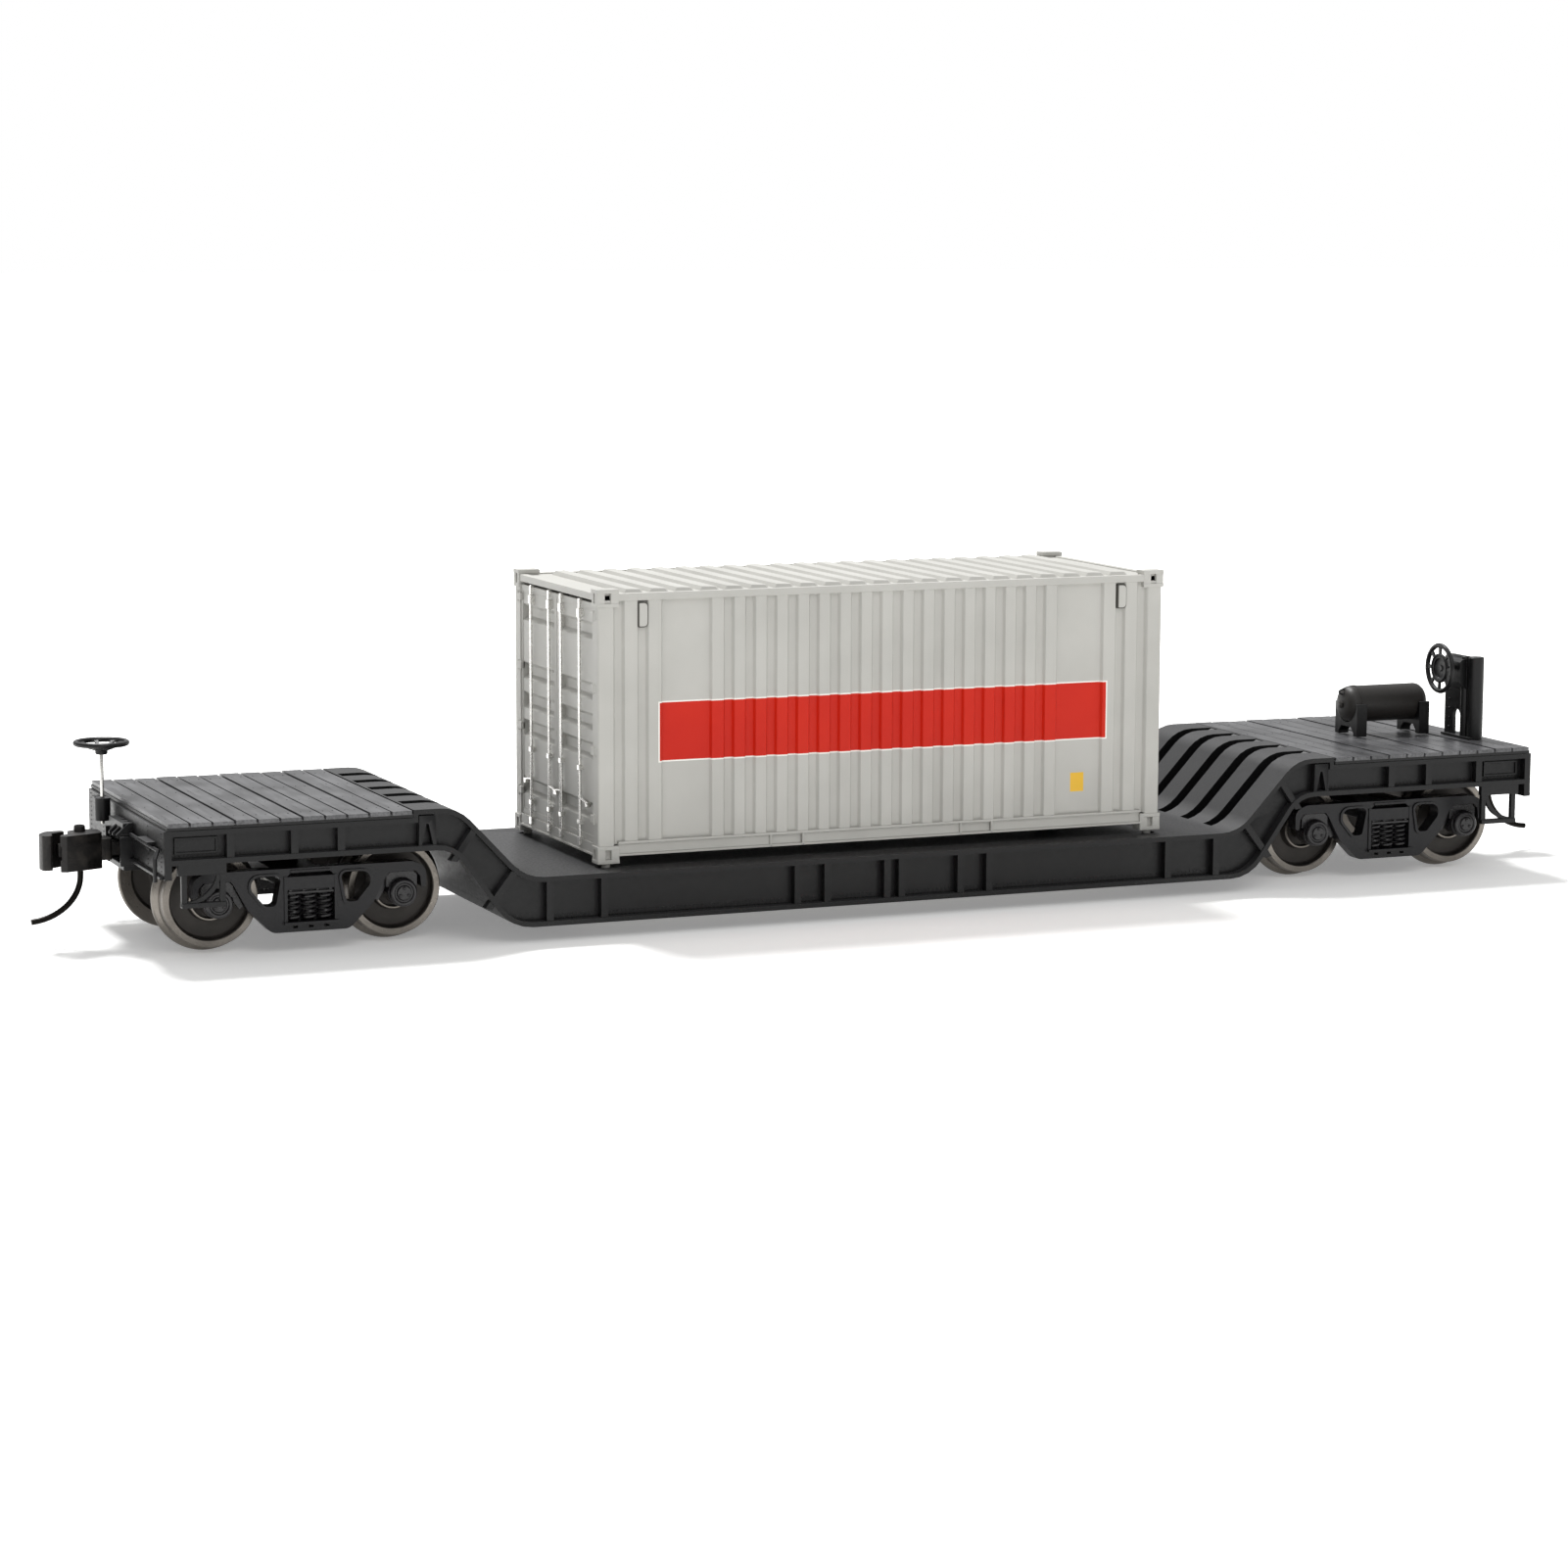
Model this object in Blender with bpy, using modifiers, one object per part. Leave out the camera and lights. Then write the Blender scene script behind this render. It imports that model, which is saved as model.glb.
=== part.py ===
"""Depressed-centre flat car carrying a 20-foot container, 1:87 scale model.

Frame: +X runs along the car, +Y across it and +Z up. The origin is midway between
the ends, on the centre line, at the level of the wheel flanges' lowest point.
End "a" is the -X end, with the upright brake staff; end "b" is the +X end.
"""

import math

import bmesh
import bpy
from mathutils import Matrix, Vector

MM = 0.001

# ---------------------------------------------------------------- car body
DECK_LENGTH = 87.6 * MM         # depressed deck, between the feet of the two ramps
RAMP_RUN = 7.65 * MM            # top surface of a ramp, from foot to crest
LANDING = 5.05 * MM             # level plate between the crest and the planks
PLANKED_LENGTH = 27.1 * MM      # planked platform over a truck
BODY_WIDTH = 34.2 * MM
BODY_BOTTOM = 1.8 * MM
DECK_HEIGHT = 7.25 * MM
PLATFORM_HEIGHT = 15.4 * MM
SILL_DEPTH = 4.5 * MM           # side sill of a platform
RAMP_DEPTH_SHIFT = 1.75 * MM    # how far the lower line's foot lies outside the upper one's
CREST_DEPTH_SHIFT = 0.55 * MM
FOOT_RADIUS = 5.0 * MM
CREST_RADIUS = 4.6 * MM
FLANGE = 0.55 * MM              # thickness of the top and bottom flanges
FLANGE_REACH = 1.1 * MM         # how far a flange stands out from the web
RIB_WIDTH = 0.8 * MM
WEB = 1.1 * MM                  # wall of a platform's side sill
UNDER_DECK = 13.4 * MM          # height of the platform's underside, over the truck
END_SILL_BOTTOM = 9.4 * MM
END_SILL = 0.8 * MM
DECK_RIBS = (0.9 * MM, 8.2 * MM, 11.8 * MM, 34.7 * MM, 41.0 * MM)
PLATFORM_RIBS = (12.95 * MM, 18.05 * MM, 25.0 * MM)   # from the ramp's crest
LASHING_EYE = 3.4 * MM                              # from the ramp's crest
SLOT_PITCH = 5.7 * MM
SLOTS = 5
SLOT_WIDTH = 2.0 * MM
SLOT_DEPTH = 1.9 * MM
SLOT_END = 0.35 * MM            # from a slot's upper end to the planks
WEIGHT_LENGTH = 71.0 * MM
WEIGHT_WIDTH = 25.6 * MM
WEIGHT_THICKNESS = 2.0 * MM
PLANK_THICKNESS = 0.8 * MM
PLANK_PITCH = 2.46 * MM
PLANK_GROOVE = 0.22 * MM
PLANK_OVERHANG = 0.15 * MM

# ------------------------------------------------------------------ trucks
TRUCK_SETBACK = 10.2 * MM       # from the edge of the planks to the truck's pivot
WHEELBASE = 20.4 * MM
WHEEL_DIAMETER = 10.5 * MM
FLANGE_DEPTH = 0.64 * MM
WHEEL_WIDTH = 2.8 * MM
BACK_TO_BACK = 14.4 * MM
AXLE_RADIUS = 1.15 * MM
AXLE_LENGTH = 25.4 * MM
SIDE_FRAME_INNER = 10.9 * MM
SIDE_FRAME_THICKNESS = 2.3 * MM
SIDE_FRAME_TOP = 9.2 * MM
BEARING_CAP = 1.75 * MM
SPRING_BAY = 2.85 * MM          # half width of the opening that holds the springs
SPRING_SEAT = 3.35 * MM
BOLSTER_HEIGHT = 1.9 * MM
BOLSTER_TOP = 8.75 * MM
TRUCK_SCREW_RADIUS = 1.0 * MM

# ---------------------------------------------------------------- couplers
COUPLER_HEIGHT = 10.5 * MM
COUPLER_PIVOT_INSET = 5.6 * MM  # from the end sill's face to the coupler's pivot
COUPLER_REACH = 9.4 * MM        # from the end sill's face to the knuckle's nose
BOX_HALF_WIDTH = 2.5 * MM
BOX_HEIGHT = 2.9 * MM
BOX_WALL = 0.7 * MM
SHANK_THICKNESS = 1.5 * MM
PIN_RADIUS = 0.3 * MM

# ------------------------------------------------------------ brake fittings
STAFF_Y = 5.7 * MM
STAFF_TOP = 21.3 * MM
STAFF_RADIUS = 0.21 * MM
HAND_WHEEL_RADIUS = 3.1 * MM
STAND_X_INSET = 3.3 * MM
STAND_Y = -6.65 * MM
STAND_WIDTH = 6.6 * MM
STAND_HEIGHT = 10.0 * MM
TANK_RADIUS = 2.12 * MM
TANK_LENGTH = 11.8 * MM
TANK_INSET = 10.4 * MM
TANK_CENTRE_HEIGHT = 4.0 * MM   # above the planks

# ---------------------------------------------------------------- container
CONTAINER_LENGTH = 69.55 * MM
CONTAINER_WIDTH = 27.99 * MM
CONTAINER_HEIGHT = 29.75 * MM
CONTAINER_LIFT = 0.9 * MM       # from the deck to the bottom of the castings
CONTAINER_SHIFT = 0.35 * MM      # the load stands this far towards end b
CASTING = Vector((2.04, 1.86, 1.35)) * MM
CORRUGATION_PITCH = 2.555 * MM
CORRUGATION_DEPTH = 0.42 * MM
RECESS = 1.3 * MM               # mouth of one pressed recess
RECESS_SLOPE = 0.22 * MM        # run of each of its sloping sides
WIDE_RECESS = 6.0 * MM          # the broad panel near each end of a side
WIDE_RECESS_INSET = 10.6 * MM   # from the container's end to the middle of that panel
END_RECESS_INSETS = (2.65 * MM, 5.45 * MM)
ROOF_PITCH = 3.25 * MM
ROOF_RISE = 0.25 * MM
WALL = 0.7 * MM
PEG_RADIUS = 0.5 * MM
ROD_RADIUS = 0.18 * MM
ROD_OFFSETS = (2.0 * MM, 8.1 * MM)

# --------------------------------------------------------------- clearances
GAP = 0.06 * MM                 # between pieces fixed to each other
RUNNING = 0.07 * MM             # radial, between a shaft and its bearing
SINK = 0.1 * MM                 # how far shapes that are joined run into each other

HALF_WIDTH = BODY_WIDTH / 2
WEB_FACE = HALF_WIDTH - FLANGE_REACH
FOOT_X = DECK_LENGTH / 2
CREST_X = FOOT_X + RAMP_RUN
PLANK_EDGE = CREST_X + LANDING
BODY_END = PLANK_EDGE + PLANKED_LENGTH
TRUCK_X = PLANK_EDGE + TRUCK_SETBACK
PLATE_TOP = PLATFORM_HEIGHT - PLANK_THICKNESS - GAP
PLATFORM_BOTTOM = PLATFORM_HEIGHT - SILL_DEPTH
AXLE_HEIGHT = FLANGE_DEPTH + WHEEL_DIAMETER / 2
AXLE_X = WHEELBASE / 2
CONTAINER_BOTTOM = DECK_HEIGHT + CONTAINER_LIFT
CONTAINER_TOP = CONTAINER_BOTTOM + CONTAINER_HEIGHT
COUPLER_X = BODY_END - COUPLER_PIVOT_INSET

for old in list(bpy.data.objects):
    bpy.data.objects.remove(old, do_unlink=True)

car = bpy.data.collections.new("depressed_centre_flat_car")
helpers = bpy.data.collections.new("cutters")
bpy.context.scene.collection.children.link(car)
bpy.context.scene.collection.children.link(helpers)


# ================================================================ helpers
def finish(name, colour, roughness, metallic=0.0):
    material = bpy.data.materials.new(name)
    material.use_nodes = True
    shader = material.node_tree.nodes["Principled BSDF"]
    shader.inputs["Base Color"].default_value = (*colour, 1.0)
    shader.inputs["Roughness"].default_value = roughness
    shader.inputs["Metallic"].default_value = metallic
    return material


BLACK_PLASTIC = finish("black_satin_plastic", (0.012, 0.012, 0.013), 0.45)
TRUCK_PLASTIC = finish("truck_plastic", (0.013, 0.013, 0.014), 0.5)
PLANK_PAINT = finish("plank_paint", (0.03, 0.03, 0.032), 0.6)
WHEEL_METAL = finish("blackened_wheel", (0.16, 0.145, 0.13), 0.35, 0.8)
AXLE_STEEL = finish("axle_steel", (0.35, 0.34, 0.33), 0.35, 1.0)
COUPLER_METAL = finish("coupler_casting", (0.03, 0.028, 0.026), 0.45, 0.6)
BRIGHT_WIRE = finish("bright_wire", (0.6, 0.6, 0.6), 0.25, 1.0)
SPRING_BRONZE = finish("spring_bronze", (0.45, 0.28, 0.12), 0.35, 1.0)
SCREW_STEEL = finish("screw_steel", (0.3, 0.3, 0.3), 0.35, 1.0)
CONTAINER_GREY = finish("container_grey", (0.48, 0.47, 0.43), 0.5)


def add_box(bm, low, high):
    size = Vector(high) - Vector(low)
    middle = (Vector(high) + Vector(low)) / 2
    place = Matrix.Translation(middle) @ Matrix.Diagonal((*size, 1.0))
    bmesh.ops.create_cube(bm, size=1.0, matrix=place)


def add_rod(bm, start, end, radius, end_radius=None, segments=16):
    """A cylinder or cone from start to end."""
    axis = Vector(end) - Vector(start)
    turn = Vector((0, 0, 1)).rotation_difference(axis).to_matrix().to_4x4()
    place = Matrix.Translation((Vector(start) + Vector(end)) / 2) @ turn
    top = radius if end_radius is None else end_radius
    made = bmesh.ops.create_cone(bm, cap_ends=True, segments=segments, radius1=radius,
                                 radius2=top, depth=axis.length, matrix=place)
    for vert in made["verts"]:
        for face in vert.link_faces:
            face.smooth = len(face.verts) == 4


PLANES = {
    "XY": Matrix.Identity(4),
    "XZ": Matrix(((1, 0, 0, 0), (0, 0, -1, 0), (0, 1, 0, 0), (0, 0, 0, 1))),
    "YZ": Matrix(((0, 0, 1, 0), (1, 0, 0, 0), (0, 1, 0, 0), (0, 0, 0, 1))),
}


def add_outline(bm, loops, plane, low, high):
    """Extrudes flat outlines (the first one and any holes in it) from low to high."""
    curve = bpy.data.curves.new("outline", "CURVE")
    curve.dimensions = "2D"
    curve.fill_mode = "BOTH"
    curve.extrude = (high - low) / 2
    for loop in loops:
        spline = curve.splines.new("POLY")
        spline.points.add(len(loop) - 1)
        for point, (u, v) in zip(spline.points, loop):
            point.co = (u, v, 0, 1)
        spline.use_cyclic_u = True
    guide = bpy.data.objects.new("outline", curve)
    helpers.objects.link(guide)
    graph = bpy.context.evaluated_depsgraph_get()
    mesh = bpy.data.meshes.new_from_object(guide.evaluated_get(graph))
    shift = Matrix.Translation((0, 0, (high + low) / 2))
    if plane == "XZ":
        shift = Matrix.Translation((0, 0, -(high + low) / 2))
    mesh.transform(PLANES[plane] @ shift)
    weld = bmesh.new()
    weld.from_mesh(mesh)
    bmesh.ops.remove_doubles(weld, verts=weld.verts, dist=1e-6)
    weld.to_mesh(mesh)
    weld.free()
    bm.from_mesh(mesh)
    bpy.data.meshes.remove(mesh)
    bpy.data.objects.remove(guide)
    bpy.data.curves.remove(curve)


def rounded(corners, steps=4):
    """Turns (u, v, radius) corners into points, with an arc at each corner that has a radius."""
    points = []
    for i, (u, v, radius) in enumerate(corners):
        here = Vector((u, v))
        if radius <= 0:
            points.append((u, v))
            continue
        back = Vector(corners[i - 1][:2]) - here
        ahead = Vector(corners[(i + 1) % len(corners)][:2]) - here
        back.normalize()
        ahead.normalize()
        half = math.acos(max(-1.0, min(1.0, back.dot(ahead)))) / 2
        centre = here + (back + ahead).normalized() * (radius / math.sin(half))
        first = here + back * (radius / math.tan(half)) - centre
        last = here + ahead * (radius / math.tan(half)) - centre
        sweep = first.angle_signed(last)
        for k in range(steps + 1):
            turned = first.copy()
            turned.rotate(Matrix.Rotation(-sweep * k / steps, 2))
            points.append(tuple(centre + turned))
    return points


def circle(u, v, radius, steps, turn=0.0):
    angles = [turn + 2 * math.pi * k / steps for k in range(steps)]
    return [(u + radius * math.cos(a), v + radius * math.sin(a)) for a in angles]


def fresh():
    return bmesh.new()


def object_from(bm, name, collection):
    bmesh.ops.recalc_face_normals(bm, faces=bm.faces)
    mesh = bpy.data.meshes.new(name)
    bm.to_mesh(mesh)
    bm.free()
    made = bpy.data.objects.new(name, mesh)
    collection.objects.link(made)
    return made


def piece(name, bm, material, parent=None):
    """A visible sub-part. With a parent empty it is placed relative to that joint's axis."""
    made = object_from(bm, name, car)
    made.data.materials.append(material)
    made.parent = parent
    return made


def combine(target, bm, operation, label):
    """Adds a Boolean modifier to target, whose hidden operand is made from bm."""
    tool = object_from(bm, target.name + "_" + label, helpers)
    tool.hide_render = True
    tool.display_type = "WIRE"
    tool.parent = target
    modifier = target.modifiers.new(label, "BOOLEAN")
    modifier.object = tool
    modifier.operation = operation
    modifier.solver = "EXACT"


def turned_piece(name, profile, material, steps, parent=None, ring=False):
    """Spins a profile of (radius, height) points about its own Z axis with a Screw modifier."""
    bm = fresh()
    points = [bm.verts.new((radius, 0, height)) for radius, height in profile]
    for first, second in zip(points, points[1:]):
        bm.edges.new((first, second))
    if ring:
        bm.edges.new((points[-1], points[0]))
    mesh = bpy.data.meshes.new(name)
    bm.to_mesh(mesh)
    bm.free()
    made = bpy.data.objects.new(name, mesh)
    car.objects.link(made)
    made.data.materials.append(material)
    made.parent = parent
    screw = made.modifiers.new("turned", "SCREW")
    screw.steps = steps
    screw.render_steps = steps
    screw.use_merge_vertices = True
    screw.merge_threshold = 0.00001
    screw.use_smooth_shade = True
    return made


def axis_empty(name, location, parent=None, turn=0.0):
    empty = bpy.data.objects.new(name, None)
    empty.empty_display_size = 5 * MM
    empty.location = location
    empty.rotation_euler = (0, 0, turn)
    empty.parent = parent
    car.objects.link(empty)
    return empty


# =============================================================== car body
def upper_line(offset=0.0):
    """Corners of the deck's top line from -X to +X, lowered by offset along its normals."""
    slope = math.atan2(PLATFORM_HEIGHT - DECK_HEIGHT, RAMP_RUN)
    shift = offset * math.tan(slope / 2)
    foot = FOOT_X + shift
    crest = CREST_X + shift
    low = DECK_HEIGHT - offset
    high = PLATFORM_HEIGHT - offset
    return [(-crest, high, CREST_RADIUS - offset), (-foot, low, FOOT_RADIUS + offset),
            (foot, low, FOOT_RADIUS + offset), (crest, high, CREST_RADIUS - offset)]


def lower_line(offset=0.0):
    """Corners of the body's bottom line from +X to -X, raised by offset along its normals."""
    foot = FOOT_X + RAMP_DEPTH_SHIFT
    crest = CREST_X + CREST_DEPTH_SHIFT
    slope = math.atan2(PLATFORM_BOTTOM - BODY_BOTTOM, crest - foot)
    shift = offset * math.tan(slope / 2)
    low = BODY_BOTTOM + offset
    high = PLATFORM_BOTTOM + offset
    foot -= shift
    crest -= shift
    return [(crest, high, CREST_RADIUS - 1.1 * MM + offset), (foot, low, FOOT_RADIUS - offset),
            (-foot, low, FOOT_RADIUS - offset), (-crest, high, CREST_RADIUS - 1.1 * MM + offset)]


def step_up(side, offset=0.0):
    """The step from the planks' bed to the landing plate, in order of travel."""
    edge = side * (PLANK_EDGE - GAP - offset)
    return [(edge, PLATE_TOP - offset, 0), (edge, PLATFORM_HEIGHT - offset, 0)]


def body_outline(inset):
    """The body's core, which ends inside its flanges and end sills all round."""
    end = BODY_END - inset
    top = PLATE_TOP - inset
    bottom = PLATFORM_BOTTOM + inset
    corners = [(-end, top, 0)] + step_up(-1, inset) + upper_line(inset)
    corners += step_up(1, inset)[::-1] + [(end, top, 0)]
    corners += [(end, bottom, 0)] + lower_line(inset) + [(-end, bottom, 0)]
    return rounded(corners)


def flange_outlines():
    end = BODY_END - SINK
    top = [(-end, PLATE_TOP, 0)] + step_up(-1) + upper_line() + step_up(1)[::-1]
    top += [(end, PLATE_TOP, 0), (end, PLATE_TOP - FLANGE, 0)]
    edge = PLANK_EDGE - GAP - FLANGE
    lowered = PLATFORM_HEIGHT - FLANGE
    top += [(edge, PLATE_TOP - FLANGE, 0), (edge, lowered, 0)]
    top += upper_line(FLANGE)[::-1]
    top += [(-edge, lowered, 0), (-edge, PLATE_TOP - FLANGE, 0), (-end, PLATE_TOP - FLANGE, 0)]
    bottom = [(end, PLATFORM_BOTTOM, 0)] + lower_line() + [(-end, PLATFORM_BOTTOM, 0)]
    bottom += [(-end, PLATFORM_BOTTOM + FLANGE, 0)] + lower_line(FLANGE)[::-1]
    bottom += [(end, PLATFORM_BOTTOM + FLANGE, 0)]
    return rounded(top), rounded(bottom)


def slope_rib(bm, side, y_low, y_high, share):
    """A stiffener across a ramp's web, at a share of the way up the slope."""
    top_x = FOOT_X + share * RAMP_RUN
    top_z = DECK_HEIGHT + share * (PLATFORM_HEIGHT - DECK_HEIGHT)
    low_x = FOOT_X + RAMP_DEPTH_SHIFT + share * (CREST_X + CREST_DEPTH_SHIFT - FOOT_X - RAMP_DEPTH_SHIFT)
    low_z = BODY_BOTTOM + share * (PLATFORM_BOTTOM - BODY_BOTTOM)
    reach = Vector((low_x - top_x, low_z - top_z)).normalized()
    across = Vector((-reach.y, reach.x)) * RIB_WIDTH / 2
    start = Vector((top_x, top_z)) + reach * FLANGE * 0.8
    stop = Vector((low_x, low_z)) - reach * FLANGE * 0.2
    # The rib leans outward as it goes down, square to the ramp.
    stop += Vector((1.6 * MM, 0.9 * MM))
    corners = [start + across, stop + across, stop - across, start - across]
    add_outline(bm, [[(side * c.x, c.y) for c in corners]], "XZ", y_low, y_high)


def make_body():
    bm = fresh()
    add_outline(bm, [body_outline(SINK / 2)], "XZ", -WEB_FACE, WEB_FACE)
    body = piece("car_body", bm, BLACK_PLASTIC)

    bm = fresh()
    top, bottom = flange_outlines()
    add_outline(bm, [top], "XZ", -HALF_WIDTH, HALF_WIDTH)
    add_outline(bm, [bottom], "XZ", -HALF_WIDTH, HALF_WIDTH)
    combine(body, bm, "UNION", "flanges")

    bm = fresh()
    rib_face = HALF_WIDTH - 0.12 * MM
    for low, high in ((WEB_FACE - SINK, rib_face), (-rib_face, SINK - WEB_FACE)):
        for side in (-1, 1):
            for x in DECK_RIBS:
                add_box(bm, (side * x - RIB_WIDTH / 2, low, BODY_BOTTOM + SINK),
                        (side * x + RIB_WIDTH / 2, high, DECK_HEIGHT - SINK))
            for x in PLATFORM_RIBS:
                middle = side * (CREST_X + x)
                add_box(bm, (middle - RIB_WIDTH / 2, low, PLATFORM_BOTTOM + SINK),
                        (middle + RIB_WIDTH / 2, high, PLATE_TOP - SINK))
            for share in (0.14, 0.74):
                slope_rib(bm, side, low, high, share)
            eye = CREST_X + LASHING_EYE
            foot = PLATFORM_BOTTOM + SINK
            tip = foot + SILL_DEPTH * 0.82
            loop = [(side * (eye - 1.0 * MM), foot), (side * (eye + 1.0 * MM), foot),
                    (side * (eye + 0.9 * MM), tip), (side * (eye - 0.9 * MM), tip)]
            hole = [(side * (eye - 0.62 * MM), foot + 0.5 * MM), (side * (eye + 0.62 * MM), foot + 0.5 * MM),
                    (side * (eye + 0.12 * MM), tip - 0.9 * MM), (side * (eye - 0.12 * MM), tip - 0.9 * MM)]
            add_outline(bm, [loop, hole], "XZ", low, high)
    combine(body, bm, "UNION", "ribs")

    bm = fresh()
    for side in (-1, 1):
        outer = side * BODY_END
        inner = side * (BODY_END - END_SILL)
        add_box(bm, (min(outer, inner), -HALF_WIDTH, END_SILL_BOTTOM),
                (max(outer, inner), HALF_WIDTH, PLATE_TOP + 0.03 * MM))
    combine(body, bm, "UNION", "end_sills")

    # The bay over each truck: a shallow space under the planked platform, with an arch
    # towards the ramp that clears the inner wheels as the truck swivels.
    bm = fresh()
    arch = WHEEL_DIAMETER / 2 + FLANGE_DEPTH + 1.7 * MM
    wheel_x = TRUCK_X - AXLE_X
    corner = UNDER_DECK - AXLE_HEIGHT
    start = math.asin(min(1.0, corner / arch))
    for side in (-1, 1):
        sweep = [start + (math.pi + 0.45 - start) * k / 8 for k in range(9)]
        loop = [(wheel_x + arch * math.cos(a), AXLE_HEIGHT + arch * math.sin(a))
                for a in sweep if math.cos(a) <= 0]
        under_sill = END_SILL_BOTTOM - 1 * MM
        loop += [(loop[-1][0], -2 * MM), (BODY_END + 2 * MM, -2 * MM)]
        loop += [(BODY_END + 2 * MM, under_sill), (BODY_END - END_SILL, under_sill),
                 (BODY_END - END_SILL, UNDER_DECK)]
        add_outline(bm, [[(side * u, v) for u, v in loop]], "XZ", -(WEB_FACE - WEB), WEB_FACE - WEB)
    combine(body, bm, "DIFFERENCE", "truck_bays")

    bm = fresh()
    for side in (-1, 1):
        middle = side * TRUCK_X
        add_box(bm, (middle - 2.4 * MM, SINK - WEB_FACE, UNDER_DECK - 1.0 * MM),
                (middle + 2.4 * MM, WEB_FACE - SINK, UNDER_DECK + SINK))
    combine(body, bm, "UNION", "body_bolsters")
    bm = fresh()
    for side in (-1, 1):
        add_rod(bm, (side * TRUCK_X, 0, BOLSTER_TOP + 0.5 * MM + GAP),
                (side * TRUCK_X, 0, UNDER_DECK - 0.5 * MM), 2.6 * MM, segments=24)
        # The draft-gear casting: a box that runs from behind the coupler's pivot
        # to a striker just outside the end sill.
        start = side * (COUPLER_X - BOX_HALF_WIDTH - BOX_WALL)
        stop = side * (BODY_END + 1.0 * MM)
        add_box(bm, (min(start, stop), -BOX_HALF_WIDTH - BOX_WALL, COUPLER_HEIGHT - BOX_HEIGHT / 2),
                (max(start, stop), BOX_HALF_WIDTH + BOX_WALL, UNDER_DECK + SINK))
    combine(body, bm, "UNION", "pads_and_boxes")

    bm = fresh()
    pocket_top = COUPLER_HEIGHT + BOX_HEIGHT / 2
    for side in (-1, 1):
        add_rod(bm, (side * TRUCK_X, 0, BOLSTER_TOP - 1 * MM),
                (side * TRUCK_X, 0, UNDER_DECK + 0.4 * MM), TRUCK_SCREW_RADIUS + GAP)
        start = side * (COUPLER_X - BOX_HALF_WIDTH)
        stop = side * (BODY_END + 2 * MM)
        add_box(bm, (min(start, stop), -BOX_HALF_WIDTH, COUPLER_HEIGHT - BOX_HEIGHT),
                (max(start, stop), BOX_HALF_WIDTH, pocket_top))
    # The hole for the floor weight, open below, and a socket for each container peg.
    add_box(bm, (-WEIGHT_LENGTH / 2 - GAP, -WEIGHT_WIDTH / 2 - GAP, BODY_BOTTOM - 1 * MM),
            (WEIGHT_LENGTH / 2 + GAP, WEIGHT_WIDTH / 2 + GAP, DECK_HEIGHT - 1.7 * MM))
    for x, y in peg_places():
        x += CONTAINER_SHIFT
        add_rod(bm, (x, y, DECK_HEIGHT - 1.2 * MM), (x, y, DECK_HEIGHT + 1 * MM), PEG_RADIUS + 0.25 * MM)
    combine(body, bm, "DIFFERENCE", "holes")

    bm = fresh()
    for side in (-1, 1):
        add_rod(bm, (side * COUPLER_X, 0, COUPLER_HEIGHT - BOX_HEIGHT / 2 + 0.15 * MM),
                (side * COUPLER_X, 0, pocket_top + SINK), 0.8 * MM)
    combine(body, bm, "UNION", "coupler_posts")
    bm = fresh()
    for side in (-1, 1):
        add_rod(bm, (side * COUPLER_X, 0, COUPLER_HEIGHT - BOX_HEIGHT),
                (side * COUPLER_X, 0, pocket_top), 0.42 * MM, segments=12)
    combine(body, bm, "DIFFERENCE", "screw_holes")

    # Five slots down each ramp; each follows the slope at an even depth.
    bm = fresh()
    foot = FOOT_X - 1.0 * MM
    crest = PLANK_EDGE - SLOT_END
    above = 2 * MM
    under = [(x, z, 1.5 * MM) for x, z, _ in upper_line(SLOT_DEPTH) if x > 0]
    strip = [(foot, PLATFORM_HEIGHT + above, 0), (foot, DECK_HEIGHT - SINK, 0)] + under
    strip += [(crest, PLATFORM_HEIGHT - SINK, 0), (crest, PLATFORM_HEIGHT + above, 0)]
    for side in (-1, 1):
        for k in range(SLOTS):
            y = (k - (SLOTS - 1) / 2) * SLOT_PITCH
            add_outline(bm, [[(side * u, v) for u, v in rounded(strip)]], "XZ",
                        y - SLOT_WIDTH / 2, y + SLOT_WIDTH / 2)
    combine(body, bm, "DIFFERENCE", "ramp_slots")
    return body


def peg_places():
    """The container's four pegs, counted from its own middle."""
    x = CONTAINER_LENGTH / 2 - CASTING.x / 2
    y = CONTAINER_WIDTH / 2 - CASTING.y / 2
    return [(sx * x, sy * y) for sx in (-1, 1) for sy in (-1, 1)]


def make_planks(name, side, body):
    """One planked platform: boards laid across the car, with a groove between each two."""
    length = PLANKED_LENGTH - 0.3 * MM
    count = max(3, round(length / PLANK_PITCH))
    pitch = length / count
    under = PLATFORM_HEIGHT - PLANK_THICKNESS
    loop = [(PLANK_EDGE, under), (PLANK_EDGE, PLATFORM_HEIGHT)]
    for k in range(1, count):
        x = PLANK_EDGE + k * pitch
        loop += [(x - PLANK_GROOVE / 2, PLATFORM_HEIGHT), (x, PLATFORM_HEIGHT - PLANK_GROOVE),
                 (x + PLANK_GROOVE / 2, PLATFORM_HEIGHT)]
    loop += [(PLANK_EDGE + length, PLATFORM_HEIGHT), (PLANK_EDGE + length, under)]
    bm = fresh()
    reach = HALF_WIDTH + PLANK_OVERHANG
    add_outline(bm, [[(side * u, v) for u, v in loop]], "XZ", -reach, reach)
    return piece(name, bm, PLANK_PAINT, body)


def make_weight(body):
    bm = fresh()
    top = DECK_HEIGHT - 1.7 * MM - GAP
    add_box(bm, (-WEIGHT_LENGTH / 2, -WEIGHT_WIDTH / 2, top - WEIGHT_THICKNESS),
            (WEIGHT_LENGTH / 2, WEIGHT_WIDTH / 2, top))
    piece("floor_weight", bm, SCREW_STEEL, body)


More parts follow.
